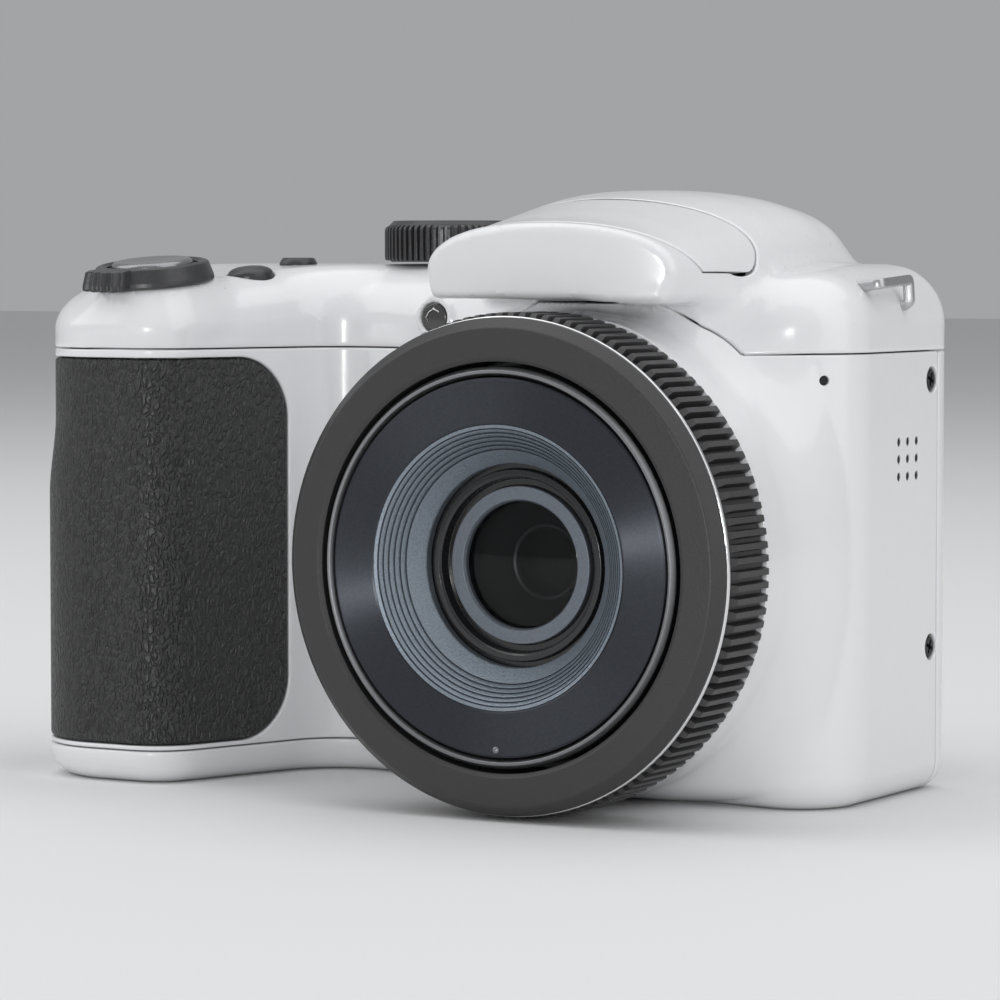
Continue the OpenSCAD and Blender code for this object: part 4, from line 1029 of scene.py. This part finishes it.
# Sound holes: black acoustic cloth, pressed from behind into the nine speaker holes and the
# microphone hole of the front cover.
cloth = finish("acoustic_cloth", (0.012, 0.012, 0.012), 0.8, grain=6000, mottle=0.4)
plug_points, plug_tris, _ = turned([(0, 0.12), (0.4, 0.14), (0.52, 0.2), (0.52, 1.2), (0, 1.2)], 24)
plug_shape = piece_mesh("plug_shape", plug_points, plug_tris, cloth)
plug_spots = [
    (35.0, SPEAKER_Y + SPEAKER_BAY * i, SPEAKER_UP + SPEAKER_ROW * k) for i in (-1, 0, 1) for k in (-1, 0, 1)]
plug_turns = [(0, -math.pi / 2, 0)] * len(plug_spots)
plug_spots.append((31.9, -15.2, 56))
plug_turns.append((0, -math.pi / 2, -0.7))
plug_spots = settle(housing, np.array(plug_spots))
copies_at("sound_plugs", plug_shape, plug_spots, plug_turns, cloth, "housing", [], "dark_plastic")

# Focus lamp: the smoked plastic window of the focus light, pressed into a rounded seat beside
# the hump.
lamp_plastic = finish("lamp_plastic", (0.05, 0.048, 0.047), 0.2, grain=900, mottle=0.25, coat=0.6)
lamp_points, lamp_tris, _ = turned(
    [(0, 0.3), (1.7, 0.32), (1.85, 0.36), (1.95, 0.46), (1.95, 4), (0, 4)], 64)
lamp_points = lamp_points[:, [0, 2, 1]] + np.array(LAMP_AT)
piece_object("focus_lamp", lamp_points, lamp_tris, lamp_plastic, "housing", ["af_lamp"])

# Release group: the zoom lever, a dark ring with a fluted finger tab, turns around the dished
# release button on the slope of the grip.
key_plastic = finish(
    "key_plastic", (0.055, 0.055, 0.057), 0.34, metal=0.35, grain=2600, mottle=0.2, relief=0.12)
key_metal = finish("key_metal", (0.3, 0.3, 0.31), 0.26, metal=0.85, grain=1800, mottle=0.08)
TAB_AT, TAB_HALF, TAB_END, FLUTE = (math.radians(angle) for angle in (-103, 25, 4, 10))
TAB_OUT, FLUTE_DEEP, TAB_FROM_R = 2.5, 0.8, 7.3


def top_piece(name, path, at, paint, body, nodes, turns=96, swell=None):
    turned_piece(name, path, paint, body, nodes, None, lambda p: on_top(*at, p), turns, swell)


def finger_tab(angles, r, t):
    away = np.abs((angles - TAB_AT + math.pi) % (2 * math.pi) - math.pi)
    rise = np.clip((TAB_HALF - away) / TAB_END, 0, 1)
    rise = rise * rise * (3 - 2 * rise)
    flutes = FLUTE_DEEP * np.abs(np.cos((angles - TAB_AT) * math.pi / FLUTE))**2
    share = np.clip((r - TAB_FROM_R) / 0.35, 0, 1)
    return rise * (TAB_OUT - flutes) * share


top_piece("zoom_lever_ring", filleted([
    (6.3, 0.6, 0.1), (7.2, 0.5, 0.1), (7.9, 0.35, 0.2), (8.4, 0.55, 0.2), (8.35, 1.2, 0.2),
    (7.75, 3.0, 0.3), (7.3, 3.2, 0.15), (6.9, 3.2, 0.15), (6.6, 3.0, 0.1), (6.3, 2.95, 0.1),
]), SHUTTER_AT, key_plastic, "zoom_ring", ["zoom_lever"], turns=360, swell=finger_tab)
top_piece("release_button", [
    (0, 3.4), (1.5, 3.42), (3.0, 3.5), (4.0, 3.58), (4.6, 3.62), (5.0, 3.6), (5.3, 3.5), (5.5, 3.3),
    (5.58, 3.1), (5.6, 2.9), (5.6, -3.4), (0, -3.4),
], SHUTTER_AT, key_metal, "shutter_button", ["shutter_key"])

# Power button and the small button behind it: low moulded plastic caps that stand in plain holes
# of the top cover and sink when pressed.
top_piece("power_button_cap", [
    (0, 0.95), (1.0, 0.92), (1.9, 0.8), (2.5, 0.6), (2.9, 0.35), (3.1, 0.1), (POWER_R, -0.3),
    (POWER_R, -3.5), (0, -3.5),
], POWER_AT, key_plastic, "power_button", ["power_key"])
top_piece("top_button_cap", [
    (0, 0.8), (1.8, 0.8), (2.15, 0.78), (2.3, 0.7), (2.6, 0.2), (2.68, 0), (TOP_KEY_R, -0.4),
    (TOP_KEY_R, -3.2), (0, -3.2),
], TOP_KEY_AT, key_plastic, "top_button", ["top_key"])

# Mode dial: a knurled drum of dark plastic that turns on its shaft, with a raised rim and
# plain raised marks around its top.
DIAL_RIBS, DIAL_MARKS = 62, 12


def on_dial(points):
    return on_top(*DIAL_AT, points)


top_piece("mode_dial_drum", filleted([
    (0, 5.7, 0), (7.3, 5.7, 0.1), (7.6, 5.98, 0.1), (8.5, 5.98, 0.15), (9.15, 5.35, 0.15),
    (9.2, 0.5, 0.2), (8.8, 0.22, 0.1), (0, 0.22, 0),
]), DIAL_AT, key_plastic, "dial", ["mode_dial"], turns=120)
bar_ring("dial_ribs", [
    (9.0, 0.45, 0.3), (9.55, 0.4, 0.3), (9.75, 0.6, 0.26), (9.78, 1.0, 0.2), (9.78, 4.7, 0.2),
    (9.65, 5.0, 0.22), (9.2, 5.3, 0.28), (9.0, 5.3, 0.3),
], DIAL_RIBS, on_dial, key_plastic, "dial", ["mode_dial"])
mark_paint = finish("dial_mark", (0.6, 0.6, 0.6), 0.4, grain=1500, mottle=0.06)
bar_ring("dial_marks", [
    (5.4, 5.6, 0.24), (5.45, 5.78, 0.2), (6.5, 5.78, 0.2), (6.55, 5.6, 0.24),
], DIAL_MARKS, on_dial, mark_paint, "dial", [], "key_plastic")

# Rear controls: five round moulded plastic caps, one of them red, around a ring with four marks
# and a centre button, all let into the rear cover.
def on_rear(x, z, points):
    return np.stack([points[:, 0] + x, points[:, 2] + REAR, points[:, 1] + z], 1)


def rear_piece(name, path, at, paint, body, nodes):
    turned_piece(name, path, paint, body, nodes, None, lambda p: on_rear(*at, p), 72)


def cap_path(r, proud):
    return [
        (0, proud + 0.08), (0.45 * r, proud + 0.05), (0.75 * r, proud - 0.02), (r - 0.3, proud - 0.1),
        (r - 0.12, proud - 0.2), (r - 0.03, proud - 0.35), (r, proud - 0.55), (r, -2.4), (0, -2.4)]


record_red = finish("record_red", (0.42, 0.03, 0.025), 0.3, grain=1400, mottle=0.08, coat=0.3)
for key, x, z, r in REAR_KEYS:
    paint = record_red if key == "record" else key_plastic
    rear_piece(key + "_button_cap", cap_path(r, 0.9), (x, z), paint, key + "_button", [key + "_key"])
rear_piece("set_button_cap", cap_path(3.8, 1.3), PAD_AT, key_plastic, "set_button", ["set_key"])
rear_piece("four_way_ring", filleted([
    (4.05, 0.6, 0.15), (5.2, 0.72, 0.3), (6.6, 0.9, 0.3), (7.6, 0.85, 0.25), (PAD_R, 0.4, 0.2),
    (PAD_R, -2.4, 0.1), (4.05, -2.4, 0.1),
]), PAD_AT, key_plastic, "pad_button", ["four_way_pad"])
bar_ring("pad_pips", [
    (5.9, 0.6, 0.9), (6.0, 0.97, 0.7), (6.2, 1.03, 0.62), (6.7, 1.02, 0.16), (6.9, 0.95, 0.1),
    (7.0, 0.6, 0.1),
], 4, lambda p: on_rear(*PAD_AT, p), mark_paint, "pad_button", [], "key_plastic")

# Display: a hard window over the panel with rounded edges, glued into the rear cover and printed
# black on its back around the picture area.
display_glass = finish("display_glass", (0.008, 0.008, 0.01), 0.05, grain=200, mottle=0.3, coat=1.0)
glass = display_glass.node_tree
spot = add_node(
    glass, "ShaderNodeSeparateXYZ", wires={0: glass.nodes["Texture Coordinate"].outputs["Object"]})
within = []
for axis, middle, half in (("X", -0.004, 0.0305), ("Z", 0.034, 0.0215)):
    off = add_node(glass, "ShaderNodeMath", {1: middle}, {0: spot.outputs[axis]}, operation="SUBTRACT")
    size = add_node(glass, "ShaderNodeMath", wires={0: off.outputs[0]}, operation="ABSOLUTE")
    within.append(add_node(
        glass, "ShaderNodeMath", {1: half}, {0: size.outputs[0]}, operation="LESS_THAN").outputs[0])
picture = add_node(glass, "ShaderNodeMath", wires={0: within[0], 1: within[1]}, operation="MULTIPLY")
screen_tint = add_node(
    glass, "ShaderNodeMix", {7: (0.03, 0.034, 0.042, 1)},
    {"Factor": picture.outputs[0], 6: glass.nodes["Mix"].outputs[2]}, data_type="RGBA")
glass.links.new(screen_tint.outputs[2], shader_of(display_glass).inputs["Base Color"])

WINDOW_ROUND = 1.5
window_loops = []
for shrink, y in ((0, 18.5), (0, 19.4), (0.05, 19.5), (0.16, 19.58), (0.3, 19.6)):
    loop = []
    r = WINDOW_ROUND - shrink
    for mx, mz, start in ((28.5, 56, 0), (-36.5, 56, 90), (-36.5, 10, 180), (28.5, 10, 270)):
        for angle in range(start, start + 91, 15):
            a = math.radians(angle)
            loop.append((mx + r * math.cos(a), y, mz + r * math.sin(a)))
    window_loops.append(loop)
piece_object("display_window_plate", *lofted(window_loops), display_glass, "housing", ["display_window"])


# Pieces inside and under the covers: steel, boards, cells, moulded carriers and the flash lamp.
# They keep their solids and get the finish of the real material.
dark_plastic = finish("dark_plastic", (0.03, 0.03, 0.032), 0.5, grain=2600, mottle=0.2, relief=0.2)
board_green = finish("board_green", (0.02, 0.11, 0.05), 0.4, grain=900, mottle=0.25)
cell_sleeve = finish("cell_sleeve", (0.5, 0.36, 0.12), 0.3, metal=0.5, grain=300, mottle=0.1)
capacitor_sleeve = finish("capacitor_sleeve", (0.03, 0.03, 0.08), 0.35, grain=500, mottle=0.15)
mirror_foil = finish("mirror_foil", (0.85, 0.85, 0.85), 0.15, metal=1, grain=900, mottle=0.04)
tube_glass = finish("tube_glass", (0.93, 0.95, 0.96), 0.08, grain=900, mottle=0.02)
set_inputs(shader_of(tube_glass), {"Transmission Weight": 0.8})
INSIDE = {
    bright_steel: [
        "tripod_bush", "chassis", "cell_contacts", "zoom_motor", "flash_pin", "dial_shaft",
        "dial_bush", "door_contacts", "door_pin"],
    dark_plastic: [
        "display_panel", "cell_holder", "speaker", "microphone", "lens_drum", "flash_hinge",
        "shutter_bush"],
    lens_black: ["shutter_unit", "image_sensor"],
    lens_glass: ["rear_glass"],
    barrel_metal: ["cam_ring"],
    board_green: ["main_board", "key_board"],
    cell_sleeve: ["aa_cells"],
    capacitor_sleeve: ["flash_capacitor"],
    mirror_foil: ["flash_reflector"],
    tube_glass: ["flash_tube", "flash_window"],
    white_gloss: ["battery_door"],
}
for paint, members in INSIDE.items():
    for member in members:
        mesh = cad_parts[member].data
        mesh.materials.clear()
        mesh.materials.append(paint)
